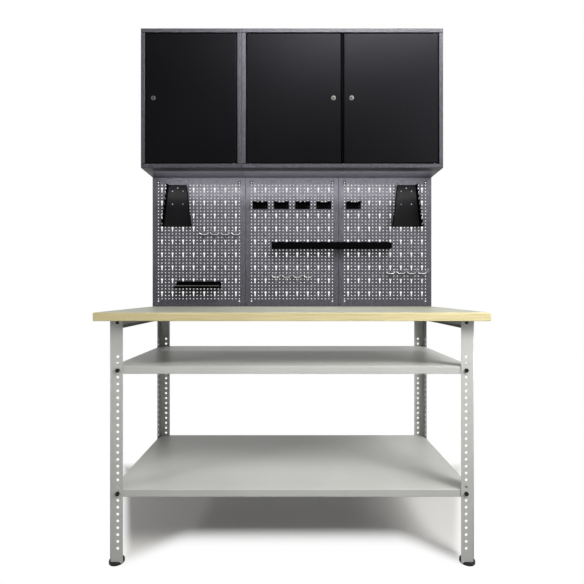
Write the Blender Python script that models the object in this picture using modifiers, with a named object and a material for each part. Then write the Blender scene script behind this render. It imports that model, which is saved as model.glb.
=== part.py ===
"""Steel workbench with two open shelves, a perforated tool wall and a row of lockable wall cabinets.

Metres, +Z up, +Y towards the wall. The origin lies on the floor under the middle of the worktop.
"""

import math

import bmesh
import bpy
from mathutils import Matrix, Vector

MM = 0.001

# Fits
TOUCH = 0.3 * MM
WELD = 0.01 * MM

# Round shapes
ROUND_SIDES = 12
ARC_POINTS = 5
SHARP_ANGLE = math.radians(40)

# Worktop
WORKTOP_LENGTH = 1300 * MM
WORKTOP_DEPTH = 600 * MM
WORKTOP_THICKNESS = 28 * MM
WORKTOP_HEIGHT = 850 * MM
WORKTOP_EDGE = 2 * MM

# Punched angle legs
LEG_END_SETBACK = 37.5 * MM
LEG_FRONT_SETBACK = 42 * MM
LEG_REAR_SETBACK = 22 * MM
LEG_FLANGE = 44 * MM
LEG_SHEET = 2 * MM
LEG_HOLE_RADIUS = 4.5 * MM
LEG_HOLE_LINE = 27 * MM
LEG_HOLE_PITCH = 23 * MM
LEG_FIRST_HOLE = 122 * MM
LEG_LAST_HOLE = 45 * MM
LEG_HOLE_SIDES = 4

# Plastic feet
FOOT_RADIUS = 27 * MM
FOOT_HEIGHT = 14 * MM
FOOT_FLOOR = 5 * MM
FOOT_INSET = 17 * MM
FOOT_CHAMFER = 2 * MM
FOOT_SIDES = 12

# Channels that carry the worktop between the legs
TOP_RAIL_HEIGHT = 30 * MM
TOP_RAIL_FLANGE = 22 * MM
TOP_RAIL_SHEET = 1.5 * MM

# Bench shelves, bolted through the legs' holes
SHELF_LIP = 25 * MM
SHELF_RETURN = 12 * MM
SHELF_CORNER = 20 * MM
SHELF_SHEET = 1.2 * MM
MIDDLE_SHELF_HOLE = 2
LOWER_SHELF_HOLE = 20

# Perforated panels
PANEL_WIDTH = 433 * MM
PANEL_HEIGHT = 600 * MM
PANEL_DEPTH = 20 * MM
PANEL_SHEET = 1.2 * MM
PANEL_GAP = 0.5 * MM
GRID_COLUMNS = 24
GRID_ROWS = 36
GRID_PITCH_X = 16.4 * MM
GRID_PITCH_Z = 15.1 * MM
KEYHOLE_HEAD = 10 * MM
KEYHOLE_SLOT = 6.5 * MM
KEYHOLE_LENGTH = 23.6 * MM
KEYHOLE_FIRST_COLUMN = 1
KEYHOLE_COLUMN_STEP = 3
KEYHOLE_FIRST_ROW = 1.5
KEYHOLE_ROW_STEP = 4

# Spanner racks with notched sides
RACK_TOP_WIDTH = 84 * MM
RACK_BOTTOM_WIDTH = 131 * MM
RACK_HEIGHT = 196 * MM
RACK_TOP_DEPTH = 30 * MM
RACK_BOTTOM_DEPTH = 48 * MM
RACK_SHEET = 1.5 * MM
RACK_NOTCHES = 8
RACK_NOTCH_DEPTH = 15 * MM
RACK_NOTCH_ROOT = 0.4
RACK_END = 6 * MM
RACK_ROW = 6.4
RACK_COLUMNS = {"left": 5.5, "right": 17.5}

# Small tool holders
HOLDER_WIDTH = 69 * MM
HOLDER_HEIGHT = 29 * MM
HOLDER_DEPTH = 36 * MM
HOLDER_SHEET = 2 * MM
HOLDER_SLOT_LENGTH = 24 * MM
HOLDER_NARROW_SLOT = 10 * MM
HOLDER_NARROW_OFFSET = 12 * MM
HOLDER_WIDE_SLOT = 34 * MM
HOLDER_ROW = 5.4
HOLDER_SPOTS = (("middle", 2.5), ("middle", 8.5), ("middle", 14.5), ("middle", 20.5), ("right", 2.5))
TWO_SLOT_HOLDERS = (1, 3)

# Tool rails and tray
TOOL_RAIL_LENGTH = 274 * MM
TOOL_RAIL_HEIGHT = 33 * MM
TOOL_RAIL_DEPTH = 40 * MM
TOOL_RAIL_LIP = 26 * MM
TOOL_RAIL_SHEET = 1.5 * MM
TOOL_RAIL_GAP = 2 * MM
TOOL_RAIL_ROW = 17.5
TOOL_RAIL_COLUMN = 5.8
TRAY_LENGTH = 208 * MM
TRAY_HEIGHT = 32 * MM
TRAY_DEPTH = 46 * MM
TRAY_LIP = 12 * MM
TRAY_SHEET = 1.5 * MM
TRAY_ROW = 29.65
TRAY_COLUMN = 5.1

# Wire hooks, each pinned in a keyhole
HOOK_WIRE = 2 * MM
HOOK_SIDES = 6
HOOK_REACH = 90 * MM
HOOK_TIP = 10 * MM
HOOK_RISE = 12 * MM
HOOK_STEM = 32 * MM
HOOK_PIN = 8 * MM
HOOK_PIN_HEIGHT = 8 * MM
HOOK_BAR = 40 * MM
HOOK_BAR_FLAT = 26 * MM
HOOK_BAR_RISE = 9 * MM
HOOK_BAR_DROP = 6.5 * MM
HOOK_BAR_OVERLAP = 1.4 * MM
HOOK_DROP = 17 * MM
HOOK_GROUPS = (  # panel, first column, keyhole row, distance slid down its slot
    ("left", 13, 4, 0),
    ("middle", 7, 7, HOOK_DROP),
    ("right", 13, 7, 0),
)
HOOKS_IN_GROUP = 4

# Cabinets
CABINET_HEIGHT = 600 * MM
CABINET_DEPTH = 170 * MM
CABINET_SHEET = 1.2 * MM
CABINET_GAP = 0.5 * MM
CABINET_FACE = 18 * MM
CABINET_RETURN = 18 * MM
SINGLE_WIDTH = 433 * MM
DOUBLE_WIDTH = 866.5 * MM
BACK_LIP = 12 * MM
INNER_SHELF_HEIGHT = 285 * MM
INNER_SHELF_SETBACK = 60 * MM
INNER_SHELF_LIP = 20 * MM

# Doors on pivot pins
DOOR_THICKNESS = 16 * MM
DOOR_SHEET = 1 * MM
DOOR_LIP = 12 * MM
DOOR_RECESS = 1 * MM
DOOR_GAP = 3 * MM
DOOR_MEETING_GAP = 12 * MM
PIVOT_INSET = 13 * MM
PIVOT_DEPTH = 9 * MM
PIN_RADIUS = 3 * MM
PIN_LENGTH = 6 * MM
PIN_CLEARANCE = 0.3 * MM
PIN_SIDES = 8

# Cam locks
LOCK_INSET = 33 * MM
LOCK_FLANGE_RADIUS = 10 * MM
LOCK_FLANGE = 2 * MM
LOCK_BODY_RADIUS = 8 * MM
LOCK_HOLE_CLEARANCE = 0.4 * MM
PLUG_RADIUS = 5.5 * MM
PLUG_CLEARANCE = 0.3 * MM
PLUG_RECESS = 0.6 * MM
KEYWAY_WIDTH = 1.4 * MM
KEYWAY_LENGTH = 7.5 * MM
KEYWAY_DEPTH = 4 * MM
CAM_REACH = 30 * MM
CAM_WIDTH = 12 * MM
CAM_SHEET = 2 * MM
CAM_CLEARANCE = 1.5 * MM

# Keepers behind which the cams turn
KEEPER_SHEET = 1.5 * MM
KEEPER_WIDTH = 20 * MM
STRIKE_HEIGHT = 120 * MM
STRIKE_LEG = 12 * MM
POST_WEB = 9 * MM
POST_RECESS = 3 * MM

# Hanging lugs
LUG_WIDTH = 57 * MM
LUG_HEIGHT = 36 * MM
LUG_TOP_RADIUS = 15 * MM
LUG_SHOULDER = 30  # degrees, where the straight sides meet the rounded top
LUG_HOLE_RADIUS = 5.5 * MM
LUG_HOLE_SIDES = 10
LUG_FOOT = 25 * MM
LUG_SHEET = 3 * MM
LUG_INSET = 85 * MM

# Places worked out from the sizes
WORKTOP_UNDERSIDE = WORKTOP_HEIGHT - WORKTOP_THICKNESS
LEG_X = WORKTOP_LENGTH / 2 - LEG_END_SETBACK
LEG_FRONT = LEG_FRONT_SETBACK - WORKTOP_DEPTH / 2
LEG_REAR = WORKTOP_DEPTH / 2 - LEG_REAR_SETBACK
LEG_BOTTOM = FOOT_FLOOR + TOUCH
LEG_LENGTH = WORKTOP_UNDERSIDE - TOUCH - LEG_BOTTOM
LEG_HOLES = 1 + int((LEG_LENGTH - LEG_FIRST_HOLE - LEG_LAST_HOLE) / LEG_HOLE_PITCH)
WALL = WORKTOP_DEPTH / 2
PANEL_FRONT = WALL - PANEL_DEPTH
PANEL_BOTTOM = WORKTOP_HEIGHT + TOUCH
PANEL_TOP = PANEL_BOTTOM + PANEL_HEIGHT
CABINET_FRONT = WALL - CABINET_DEPTH
CABINET_BOTTOM = PANEL_TOP + TOUCH
CABINET_MIDDLE = CABINET_BOTTOM + CABINET_HEIGHT / 2
CABINET_TOP = CABINET_BOTTOM + CABINET_HEIGHT
DOOR_HEIGHT = CABINET_HEIGHT - 2 * (CABINET_FACE + DOOR_GAP)
KEEPER_DEPTH = max(CABINET_RETURN, DOOR_RECESS + DOOR_THICKNESS) + TOUCH
CAM_DEPTH = KEEPER_DEPTH + KEEPER_SHEET + CAM_CLEARANCE


def start_collection(name, hidden):
    collection = bpy.data.collections.new(name)
    bpy.context.scene.collection.children.link(collection)
    collection.hide_render = hidden
    return collection


def make_material(name, colour, roughness, metallic):
    material = bpy.data.materials.new(name)
    material.use_nodes = True
    shader = material.node_tree.nodes["Principled BSDF"]
    shader.inputs["Base Color"].default_value = (*colour, 1)
    shader.inputs["Roughness"].default_value = roughness
    shader.inputs["Metallic"].default_value = metallic
    return material


for old in list(bpy.data.objects):
    bpy.data.objects.remove(old)
PARTS = start_collection("workbench", hidden=False)
HELPERS = start_collection("workbench_cutters", hidden=True)

WOOD = make_material("worktop_laminate", (0.55, 0.47, 0.30), 0.55, 0.0)
BENCH_PAINT = make_material("light_grey_paint", (0.55, 0.55, 0.52), 0.45, 0.0)
FOOT_PLASTIC = make_material("black_plastic", (0.02, 0.02, 0.02), 0.6, 0.0)
HAMMER_PAINT = make_material("hammered_grey_paint", (0.13, 0.13, 0.15), 0.4, 0.3)
DOOR_PAINT = make_material("black_door_paint", (0.03, 0.03, 0.035), 0.4, 0.0)
BLACK_STEEL = make_material("black_steel", (0.012, 0.012, 0.014), 0.45, 0.2)
ZINC = make_material("zinc_wire", (0.62, 0.62, 0.62), 0.3, 1.0)
LOCK_STEEL = make_material("lock_steel", (0.7, 0.7, 0.7), 0.25, 1.0)


# Shape tools

def finish_mesh(bm, name):
    mesh = bpy.data.meshes.new(name)
    bm.to_mesh(mesh)
    bm.free()
    return mesh


def place(name, mesh, material, location=(0, 0, 0), rotation=(0, 0, 0)):
    if not mesh.materials:
        mesh.materials.append(material)
    piece = bpy.data.objects.new(name, mesh)
    piece.location = location
    piece.rotation_euler = rotation
    PARTS.objects.link(piece)
    return piece


def place_helper(name, mesh, location=(0, 0, 0), rotation=(0, 0, 0)):
    helper = bpy.data.objects.new(name, mesh)
    helper.location = location
    helper.rotation_euler = rotation
    helper.hide_render = True
    helper.display_type = "WIRE"
    HELPERS.objects.link(helper)
    return helper


def combine(piece, operation, helper):
    boolean = piece.modifiers.new(helper.name, "BOOLEAN")
    boolean.operation = operation
    boolean.object = helper
    boolean.solver = "EXACT"


def give_thickness(piece, thickness):
    """Turns an open sheet into steel of this thickness, behind the side that its faces show."""
    sheet = piece.modifiers.new("Sheet", "SOLIDIFY")
    sheet.thickness = thickness
    sheet.offset = -1
    sheet.use_even_offset = True
    sheet.use_quality_normals = True


def bake(piece):
    """The mesh of a piece with its modifiers applied; the piece itself goes."""
    bpy.context.view_layer.update()
    graph = bpy.context.evaluated_depsgraph_get()
    mesh = bpy.data.meshes.new_from_object(piece.evaluated_get(graph))
    mesh.name = piece.name
    bpy.data.objects.remove(piece)
    return mesh


def shade_round(mesh):
    """Smooth shading over rounded faces, with the true edges kept sharp."""
    mesh.shade_smooth()
    mesh.set_sharp_from_angle(angle=SHARP_ANGLE)
    return mesh


def mirrored(mesh, flip_x, flip_y):
    copy = mesh.copy()
    copy.transform(Matrix.Diagonal((-1 if flip_x else 1, -1 if flip_y else 1, 1, 1)))
    if flip_x != flip_y:
        copy.flip_normals()
    return copy


def ring(radius, sides, centre=(0, 0), start=0.0):
    """Corners of a regular polygon, as the outline of a round hole."""
    turns = [start + 2 * math.pi * i / sides for i in range(sides)]
    return [(centre[0] + radius * math.cos(a), centre[1] + radius * math.sin(a)) for a in turns]


def arc(radius, centre, start, end):
    """Points along part of a circle, between two angles in degrees."""
    step = (end - start) / (ARC_POINTS - 1)
    turns = [math.radians(start + step * i) for i in range(ARC_POINTS)]
    return [(centre[0] + radius * math.cos(a), centre[1] + radius * math.sin(a)) for a in turns]


def filled_curve(name, outline, holes, half_thickness):
    """Mesh of a flat outline with holes in the XY plane, open if it has no thickness."""
    curve = bpy.data.curves.new(name, "CURVE")
    curve.dimensions = "2D"
    curve.fill_mode = "BOTH"
    curve.extrude = half_thickness
    for points in (outline, *holes):
        spline = curve.splines.new("POLY")
        spline.points.add(len(points) - 1)
        for point, (x, y) in zip(spline.points, points):
            point.co = (x, y, 0, 1)
        spline.use_cyclic_u = True
    guide = bpy.data.objects.new(name, curve)
    bm = bmesh.new()
    bm.from_mesh(bpy.data.meshes.new_from_object(guide))
    bpy.data.objects.remove(guide)
    bmesh.ops.remove_doubles(bm, verts=bm.verts, dist=WELD)
    return bm


def plate(name, outline, thickness):
    bm = filled_curve(name, outline, (), thickness / 2)
    bmesh.ops.recalc_face_normals(bm, faces=bm.faces)
    return finish_mesh(bm, name)


def flat_sheet(name, outline, holes, across, up):
    """Flat open sheet whose outline's axes lie along two directions; it faces their cross product."""
    bm = filled_curve(name, outline, holes, 0)
    across = Vector(across)
    up = Vector(up)
    bm.transform(Matrix((across, up, across.cross(up))).transposed().to_4x4())
    for face in bm.faces:
        face.normal_update()
        if face.normal.dot(across.cross(up)) < 0:
            face.normal_flip()
    return bm


def fold_edges(bm, edges, direction):
    """Bends a flange off an open sheet along some of its edges."""
    made = bmesh.ops.extrude_edge_only(bm, edges=edges)["geom"]
    corners = [item for item in made if isinstance(item, bmesh.types.BMVert)]
    bmesh.ops.translate(bm, verts=corners, vec=direction)
    faces = [item for item in made if isinstance(item, bmesh.types.BMFace)]
    match_winding(bm, faces)


def match_winding(bm, faces):
    """Turns new faces to run on from the older faces that they share an edge with."""
    for face in faces:
        for loop in face.loops:
            for other in loop.edge.link_loops:
                if other.face not in faces and other.vert == loop.vert:
                    face.normal_flip()
                    break
            else:
                continue
            break


def on_line(edge, axis, value):
    return all(abs(corner.co[axis] - value) < WELD for corner in edge.verts)


def box(name, size, centre=(0, 0, 0)):
    bm = bmesh.new()
    bmesh.ops.create_cube(bm, size=1)
    bmesh.ops.scale(bm, verts=bm.verts, vec=size)
    bmesh.ops.translate(bm, verts=bm.verts, vec=centre)
    return finish_mesh(bm, name)


def cylinder(name, radius, length, sides=ROUND_SIDES):
    bm = bmesh.new()
    bmesh.ops.create_cone(
        bm, cap_ends=True, segments=sides, radius1=radius, radius2=radius, depth=length
    )
    return finish_mesh(bm, name)


def rectangle(width, height, inset, corner):
    """Outline of a rectangle moved in by an inset, with its corners cut off at 45 degrees."""
    x = width / 2 - inset
    z = height / 2 - inset
    if not corner:
        return [(x, z), (-x, z), (-x, -z), (x, -z)]
    cut = corner - inset * (2 - math.sqrt(2))
    return [
        (x, z - cut),
        (x - cut, z),
        (cut - x, z),
        (-x, z - cut),
        (-x, cut - z),
        (cut - x, -z),
        (x - cut, -z),
        (x, cut - z),
    ]


def rectangle_sheet(name, width, height, steps, capped, corner=0.0):
    """Open sheet that runs through rectangles in the XZ plane, at (inset, depth) steps along +Y.

    A capped sheet starts with a face at depth 0 that looks towards -Y, as a pan does. An open one starts
    with a bare edge at the first step, and its first wall looks outwards.
    """
    if capped:
        steps = [(0, 0), *steps]
    bm = bmesh.new()
    rings = []
    for inset, depth in steps:
        outline = rectangle(width, height, inset, corner)
        rings.append([bm.verts.new((x, depth, z)) for x, z in outline])
    cap = bm.faces.new(rings[0]) if capped else None
    for first, second in zip(rings, rings[1:]):
        for i, point in enumerate(first):
            bm.faces.new((first[i - 1], point, second[i], second[i - 1]))
    bmesh.ops.recalc_face_normals(bm, faces=bm.faces)
    if capped:
        wrong = cap.normal.y > 0
    else:
        wall = max(bm.faces, key=lambda face: face.calc_center_median().x)
        wrong = wall.normal.x < 0
    if wrong:
        bmesh.ops.reverse_faces(bm, faces=bm.faces)
    return finish_mesh(bm, name)


def profile_sheet(name, points, inside, axis, length):
    """Open sheet of a folded profile drawn out along one axis, its back turned to a point inside the fold.

    Points are given in the two other axes, in the order x, y, z.
    """
    def spot(point, along):
        place_3d = list(point)
        place_3d.insert(axis, along)
        return Vector(place_3d)

    bm = bmesh.new()
    start = [bm.verts.new(spot(point, -length / 2)) for point in points]
    edges = [bm.edges.new(pair) for pair in zip(start, start[1:])]
    made = bmesh.ops.extrude_edge_only(bm, edges=edges)["geom"]
    far = [item for item in made if isinstance(item, bmesh.types.BMVert)]
    bmesh.ops.translate(bm, verts=far, vec=spot((0, 0), length))
    bmesh.ops.recalc_face_normals(bm, faces=bm.faces)
    bm.edges.ensure_lookup_table()
    first = edges[0].link_faces[0]
    if first.normal.dot(spot(inside, 0) - first.calc_center_median()) > 0:
        bmesh.ops.reverse_faces(bm, faces=bm.faces)
    return finish_mesh(bm, name)


def turned(name, profile, sides, closed):
    """Object turned about Z from (radius, height) points that run down its outer side."""
    bm = bmesh.new()
    corners = [bm.verts.new((radius, 0, height)) for radius, height in profile]
    for pair in zip(corners, corners[1:]):
        bm.edges.new(pair)
    if closed:
        bm.edges.new((corners[-1], corners[0]))
    piece = place_helper(name, finish_mesh(bm, name))
    screw = piece.modifiers.new("Turn", "SCREW")
    screw.steps = sides
    screw.render_steps = sides
    screw.use_merge_vertices = True
    screw.merge_threshold = WELD
    return piece


# Bench

def make_worktop():
    size = (WORKTOP_LENGTH, WORKTOP_DEPTH, WORKTOP_THICKNESS)
    location = (0, 0, WORKTOP_HEIGHT - WORKTOP_THICKNESS / 2)
    worktop = place("worktop", box("worktop", size), WOOD, location)
    edge = worktop.modifiers.new("Edge", "BEVEL")
    edge.width = WORKTOP_EDGE
    edge.segments = 1


def make_leg_mesh():
    """Angle with a punched hole line in each flange, its outer corner at the origin."""
    def flange(name, side, across):
        width = side * LEG_FLANGE
        outline = [(0, 0), (width, 0), (width, LEG_LENGTH), (0, LEG_LENGTH)]
        heights = [LEG_LENGTH - LEG_FIRST_HOLE - i * LEG_HOLE_PITCH for i in range(LEG_HOLES)]
        holes = [ring(LEG_HOLE_RADIUS, LEG_HOLE_SIDES, (side * LEG_HOLE_LINE, z)) for z in heights]
        return flat_sheet(name, outline, holes, across, (0, 0, 1))

    front = flange("front_flange", 1, (1, 0, 0))
    side = finish_mesh(flange("side_flange", -1, (0, -1, 0)), "side_flange")
    front.from_mesh(side)
    bmesh.ops.remove_doubles(front, verts=front.verts, dist=WELD)
    return finish_mesh(front, "leg")


def make_foot_mesh():
    """Turned glide with a slot for the leg, placed from the leg's outer corner."""
    rim = FOOT_RADIUS - FOOT_CHAMFER
    profile = [
        (0, FOOT_HEIGHT),
        (rim, FOOT_HEIGHT),
        (FOOT_RADIUS, FOOT_HEIGHT - FOOT_CHAMFER),
        (FOOT_RADIUS, 0),
        (0, 0),
    ]
    foot = turned("foot", profile, FOOT_SIDES, closed=False)
    foot.location = (FOOT_INSET, FOOT_INSET, 0)
    low = -TOUCH
    inner = LEG_SHEET + TOUCH
    far = LEG_FLANGE + TOUCH
    angle = [(low, low), (far, low), (far, inner), (inner, inner), (inner, far), (low, far)]
    slot = place_helper("foot_slot", plate("foot_slot", angle, FOOT_HEIGHT))
    slot.location.z = FOOT_FLOOR + FOOT_HEIGHT / 2
    combine(foot, "DIFFERENCE", slot)
    mesh = bake(foot)
    mesh.transform(Matrix.Translation((FOOT_INSET, FOOT_INSET, 0)))
    bpy.data.objects.remove(slot)
    return shade_round(mesh)


def make_legs_and_feet():
    leg_mesh = make_leg_mesh()
    foot_mesh = make_foot_mesh()
    for end, y in (("front", LEG_FRONT), ("rear", LEG_REAR)):
        for side, x in (("left", -LEG_X), ("right", LEG_X)):
            flips = (side == "right", end == "rear")
            leg = place(
                f"leg_{end}_{side}", mirrored(leg_mesh, *flips), BENCH_PAINT, (x, y, LEG_BOTTOM)
            )
            give_thickness(leg, LEG_SHEET)
            place(f"foot_{end}_{side}", mirrored(foot_mesh, *flips), FOOT_PLASTIC, (x, y, 0))


def make_top_rails():
    length = LEG_REAR - LEG_FRONT - 2 * (LEG_SHEET + TOUCH)
    middle = (LEG_REAR + LEG_FRONT) / 2
    channel = [
        (TOP_RAIL_FLANGE, 0),
        (0, 0),
        (0, -TOP_RAIL_HEIGHT),
        (TOP_RAIL_FLANGE, -TOP_RAIL_HEIGHT),
    ]
    inside = (TOP_RAIL_FLANGE / 2, -TOP_RAIL_HEIGHT / 2)
    mesh = profile_sheet("top_rail", channel, inside, 1, length)
    for side, sign in (("left", -1), ("right", 1)):
        x = sign * (LEG_X - LEG_SHEET - TOUCH)
        location = (x, middle, WORKTOP_UNDERSIDE - TOUCH)
        rail = place(f"top_rail_{side}", mirrored(mesh, sign > 0, False), BENCH_PAINT, location)
        give_thickness(rail, TOP_RAIL_SHEET)


def make_bench_shelves():
    """Pans that lie upside down inside the four legs."""
    width = 2 * (LEG_X - LEG_SHEET - TOUCH)
    depth = LEG_REAR - LEG_FRONT - 2 * (LEG_SHEET + TOUCH)
    middle = (LEG_REAR + LEG_FRONT) / 2
    steps = [(0, SHELF_LIP), (SHELF_RETURN, SHELF_LIP)]
    for name, hole in (("shelf_middle", MIDDLE_SHELF_HOLE), ("shelf_lower", LOWER_SHELF_HOLE)):
        bolt = LEG_BOTTOM + LEG_LENGTH - LEG_FIRST_HOLE - hole * LEG_HOLE_PITCH
        mesh = rectangle_sheet(name, width, depth, steps, capped=True, corner=SHELF_CORNER)
        top = bolt + SHELF_LIP / 2
        shelf = place(name, mesh, BENCH_PAINT, (0, middle, top), (-math.pi / 2, 0, 0))
        give_thickness(shelf, SHELF_SHEET)


# Tool wall

PANEL_NAMES = ("left", "middle", "right")
PANEL_STEP = PANEL_WIDTH + PANEL_GAP
PANEL_CENTRES = {name: (i - 1) * PANEL_STEP for i, name in enumerate(PANEL_NAMES)}


def grid_x(column):
    """Distance of a hole column from the middle of its panel."""
    return (column - (GRID_COLUMNS - 1) / 2) * GRID_PITCH_X


def grid_z(row):
    """Height of a hole row, counted down from the top of a panel."""
    return PANEL_BOTTOM + PANEL_HEIGHT / 2 - (row - (GRID_ROWS - 1) / 2) * GRID_PITCH_Z


def keyhole_columns():
    return range(KEYHOLE_FIRST_COLUMN, GRID_COLUMNS, KEYHOLE_COLUMN_STEP)


def keyhole_rows():
    count = 1 + int((GRID_ROWS - 1 - KEYHOLE_FIRST_ROW) / KEYHOLE_ROW_STEP)
    return [KEYHOLE_FIRST_ROW + i * KEYHOLE_ROW_STEP for i in range(count)]


def keyhole(x, z):
    """Outline of a keyhole: a narrow slot that widens to a head at its upper end."""
    slot = KEYHOLE_SLOT / 2
    head = KEYHOLE_HEAD / 2
    end = KEYHOLE_LENGTH / 2
    shoulder = end - head
    corners = [(slot, -end), (head, shoulder), (0, end), (-head, shoulder), (-slot, -end)]
    return [(x + across, z + up) for across, up in corners]


def make_panel_mesh():
    """Perforated sheet with its four edges folded back to the wall, its lower edge at height 0."""
    half = PANEL_WIDTH / 2
    outline = [(-half, 0), (half, 0), (half, PANEL_HEIGHT), (-half, PANEL_HEIGHT)]
    holes = [
        keyhole(grid_x(column), grid_z(row) - PANEL_BOTTOM)
        for row in keyhole_rows()
        for column in keyhole_columns()
    ]
    bm = flat_sheet("panel", outline, holes, (1, 0, 0), (0, 0, 1))
    sides = ((0, -half), (0, half), (2, 0), (2, PANEL_HEIGHT))
    edges = [edge for edge in bm.edges if any(on_line(edge, *side) for side in sides)]
    fold_edges(bm, edges, (0, PANEL_DEPTH, 0))
    return finish_mesh(bm, "panel")


def make_panels():
    mesh = make_panel_mesh()
    for name, x in PANEL_CENTRES.items():
        location = (x, PANEL_FRONT, PANEL_BOTTOM)
        panel = place(f"panel_{name}", mesh, HAMMER_PAINT, location)
        give_thickness(panel, PANEL_SHEET)


def rack_side(sign):
    """Corners of a rack's notched side as (x, y, z), from the top of its fold round to the bottom."""
    top = Vector((sign * RACK_TOP_WIDTH / 2, 0, RACK_HEIGHT / 2))
    bottom = Vector((sign * RACK_BOTTOM_WIDTH / 2, 0, -RACK_HEIGHT / 2))
    low = bottom + Vector((0, -RACK_BOTTOM_DEPTH, 0))
    high = top + Vector((0, -RACK_TOP_DEPTH, 0))
    along = (high - low).normalized()
    run = (high - low).length - 2 * RACK_END
    pitch = run / RACK_NOTCHES
    root = Vector((0, RACK_NOTCH_DEPTH, 0))
    teeth = [low]
    for i in range(RACK_NOTCHES):
        teeth.append(low + along * (RACK_END + i * pitch))
        teeth.append(low + root + along * (RACK_END + (i + RACK_NOTCH_ROOT) * pitch))
    teeth.append(low + along * (RACK_END + run))
    teeth.append(high)
    return [top, bottom, *teeth]


def make_rack_mesh():
    """Tapered back plate with a notched side folded forward along each slanting edge."""
    half_top = RACK_TOP_WIDTH / 2
    half_bottom = RACK_BOTTOM_WIDTH / 2
    half_height = RACK_HEIGHT / 2
    back = [
        (-half_bottom, -half_height),
        (half_bottom, -half_height),
        (half_top, half_height),
        (-half_top, half_height),
    ]
    bm = flat_sheet("rack", back, (), (-1, 0, 0), (0, 0, 1))
    sides = []
    for sign in (-1, 1):
        corners = [bm.verts.new(point) for point in rack_side(sign)]
        sides.append(bm.faces.new(corners))
    bmesh.ops.remove_doubles(bm, verts=bm.verts, dist=WELD)
    for side in sides:
        side.normal_update()
        if side.normal.x * side.calc_center_median().x < 0:
            side.normal_flip()
    return finish_mesh(bm, "rack")


def make_racks():
    mesh = make_rack_mesh()
    for name, column in RACK_COLUMNS.items():
        x = PANEL_CENTRES[name] + grid_x(column)
        location = (x, PANEL_FRONT - TOUCH, grid_z(RACK_ROW))
        rack = place(f"wrench_rack_{name}", mesh, BLACK_STEEL, location)
        give_thickness(rack, RACK_SHEET)


def holder_mesh(slots):
    """Bracket whose top plate has open slots, given as (middle, width), for handles to hang in."""
    half = HOLDER_WIDTH / 2
    root = HOLDER_DEPTH - HOLDER_SLOT_LENGTH
    comb = [(-half, 0), (half, 0), (half, HOLDER_DEPTH)]
    for middle, width in sorted(slots, reverse=True):
        right = middle + width / 2
        left = middle - width / 2
        comb += [(right, HOLDER_DEPTH), (right, root), (left, root), (left, HOLDER_DEPTH)]
    comb.append((-half, HOLDER_DEPTH))
    bm = flat_sheet("holder", comb, (), (-1, 0, 0), (0, -1, 0))
    fold_edges(bm, [edge for edge in bm.edges if on_line(edge, 1, 0)], (0, 0, -HOLDER_HEIGHT))
    return finish_mesh(bm, "holder")


def make_holders():
    narrow = [(side * HOLDER_NARROW_OFFSET, HOLDER_NARROW_SLOT) for side in (-1, 1)]
    two_slots = holder_mesh(narrow)
    one_slot = holder_mesh([(0, HOLDER_WIDE_SLOT)])
    for number, (panel, column) in enumerate(HOLDER_SPOTS, start=1):
        mesh = two_slots if number in TWO_SLOT_HOLDERS else one_slot
        x = PANEL_CENTRES[panel] + grid_x(column)
        location = (x, PANEL_FRONT - TOUCH, grid_z(HOLDER_ROW))
        holder = place(f"tool_holder_{number}", mesh, BLACK_STEEL, location)
        give_thickness(holder, HOLDER_SHEET)


def trough_mesh(name, length, height, depth, lip):
    """Channel with a tall back and a lower front lip."""
    profile = [(0, 0), (0, -height), (-depth, -height), (-depth, lip - height)]
    return profile_sheet(name, profile, (-depth / 2, -height / 2), 0, length)


def make_rails_and_tray():
    mesh = trough_mesh(
        "tool_rail", TOOL_RAIL_LENGTH, TOOL_RAIL_HEIGHT, TOOL_RAIL_DEPTH, TOOL_RAIL_LIP
    )
    start = PANEL_CENTRES["middle"] + grid_x(TOOL_RAIL_COLUMN)
    for i, name in enumerate(("left", "right")):
        x = start + TOOL_RAIL_LENGTH / 2 + i * (TOOL_RAIL_LENGTH + TOOL_RAIL_GAP)
        location = (x, PANEL_FRONT - TOUCH, grid_z(TOOL_RAIL_ROW))
        give_thickness(place(f"tool_rail_{name}", mesh, BLACK_STEEL, location), TOOL_RAIL_SHEET)
    mesh = trough_mesh("tool_tray", TRAY_LENGTH, TRAY_HEIGHT, TRAY_DEPTH, TRAY_LIP)
    x = PANEL_CENTRES["left"] + grid_x(TRAY_COLUMN) + TRAY_LENGTH / 2
    location = (x, PANEL_FRONT - TOUCH, grid_z(TRAY_ROW))
    give_thickness(place("tool_tray", mesh, BLACK_STEEL, location), TRAY_SHEET)


def wire(name, route):
    """Closed round wire along a bent route, mitred at its bends."""
    points = [Vector(point) for point in route]
    steps = [(end - start).normalized() for start, end in zip(points, points[1:])]
    turn = steps[0].to_track_quat("Z", "Y")
    bm = bmesh.new()
    spokes = [turn @ Vector((x, y, 0)) for x, y in ring(HOOK_WIRE, HOOK_SIDES)]
    loops = [[bm.verts.new(points[0] + spoke) for spoke in spokes]]
    for step, following, end in zip(steps, steps[1:] + steps[-1:], points[1:]):
        mitre = step + following
        loop = []
        for vert in loops[-1]:
            length = (end - vert.co).dot(mitre) / step.dot(mitre)
            loop.append(bm.verts.new(vert.co + step * length))
        loops.append(loop)
    for first, second in zip(loops, loops[1:]):
        for i, corner in enumerate(first):
            bm.faces.new((first[i - 1], corner, second[i], second[i - 1]))
    bm.faces.new(loops[0])
    bm.faces.new(loops[-1])
    bmesh.ops.recalc_face_normals(bm, faces=bm.faces)
    return finish_mesh(bm, name)


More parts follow.
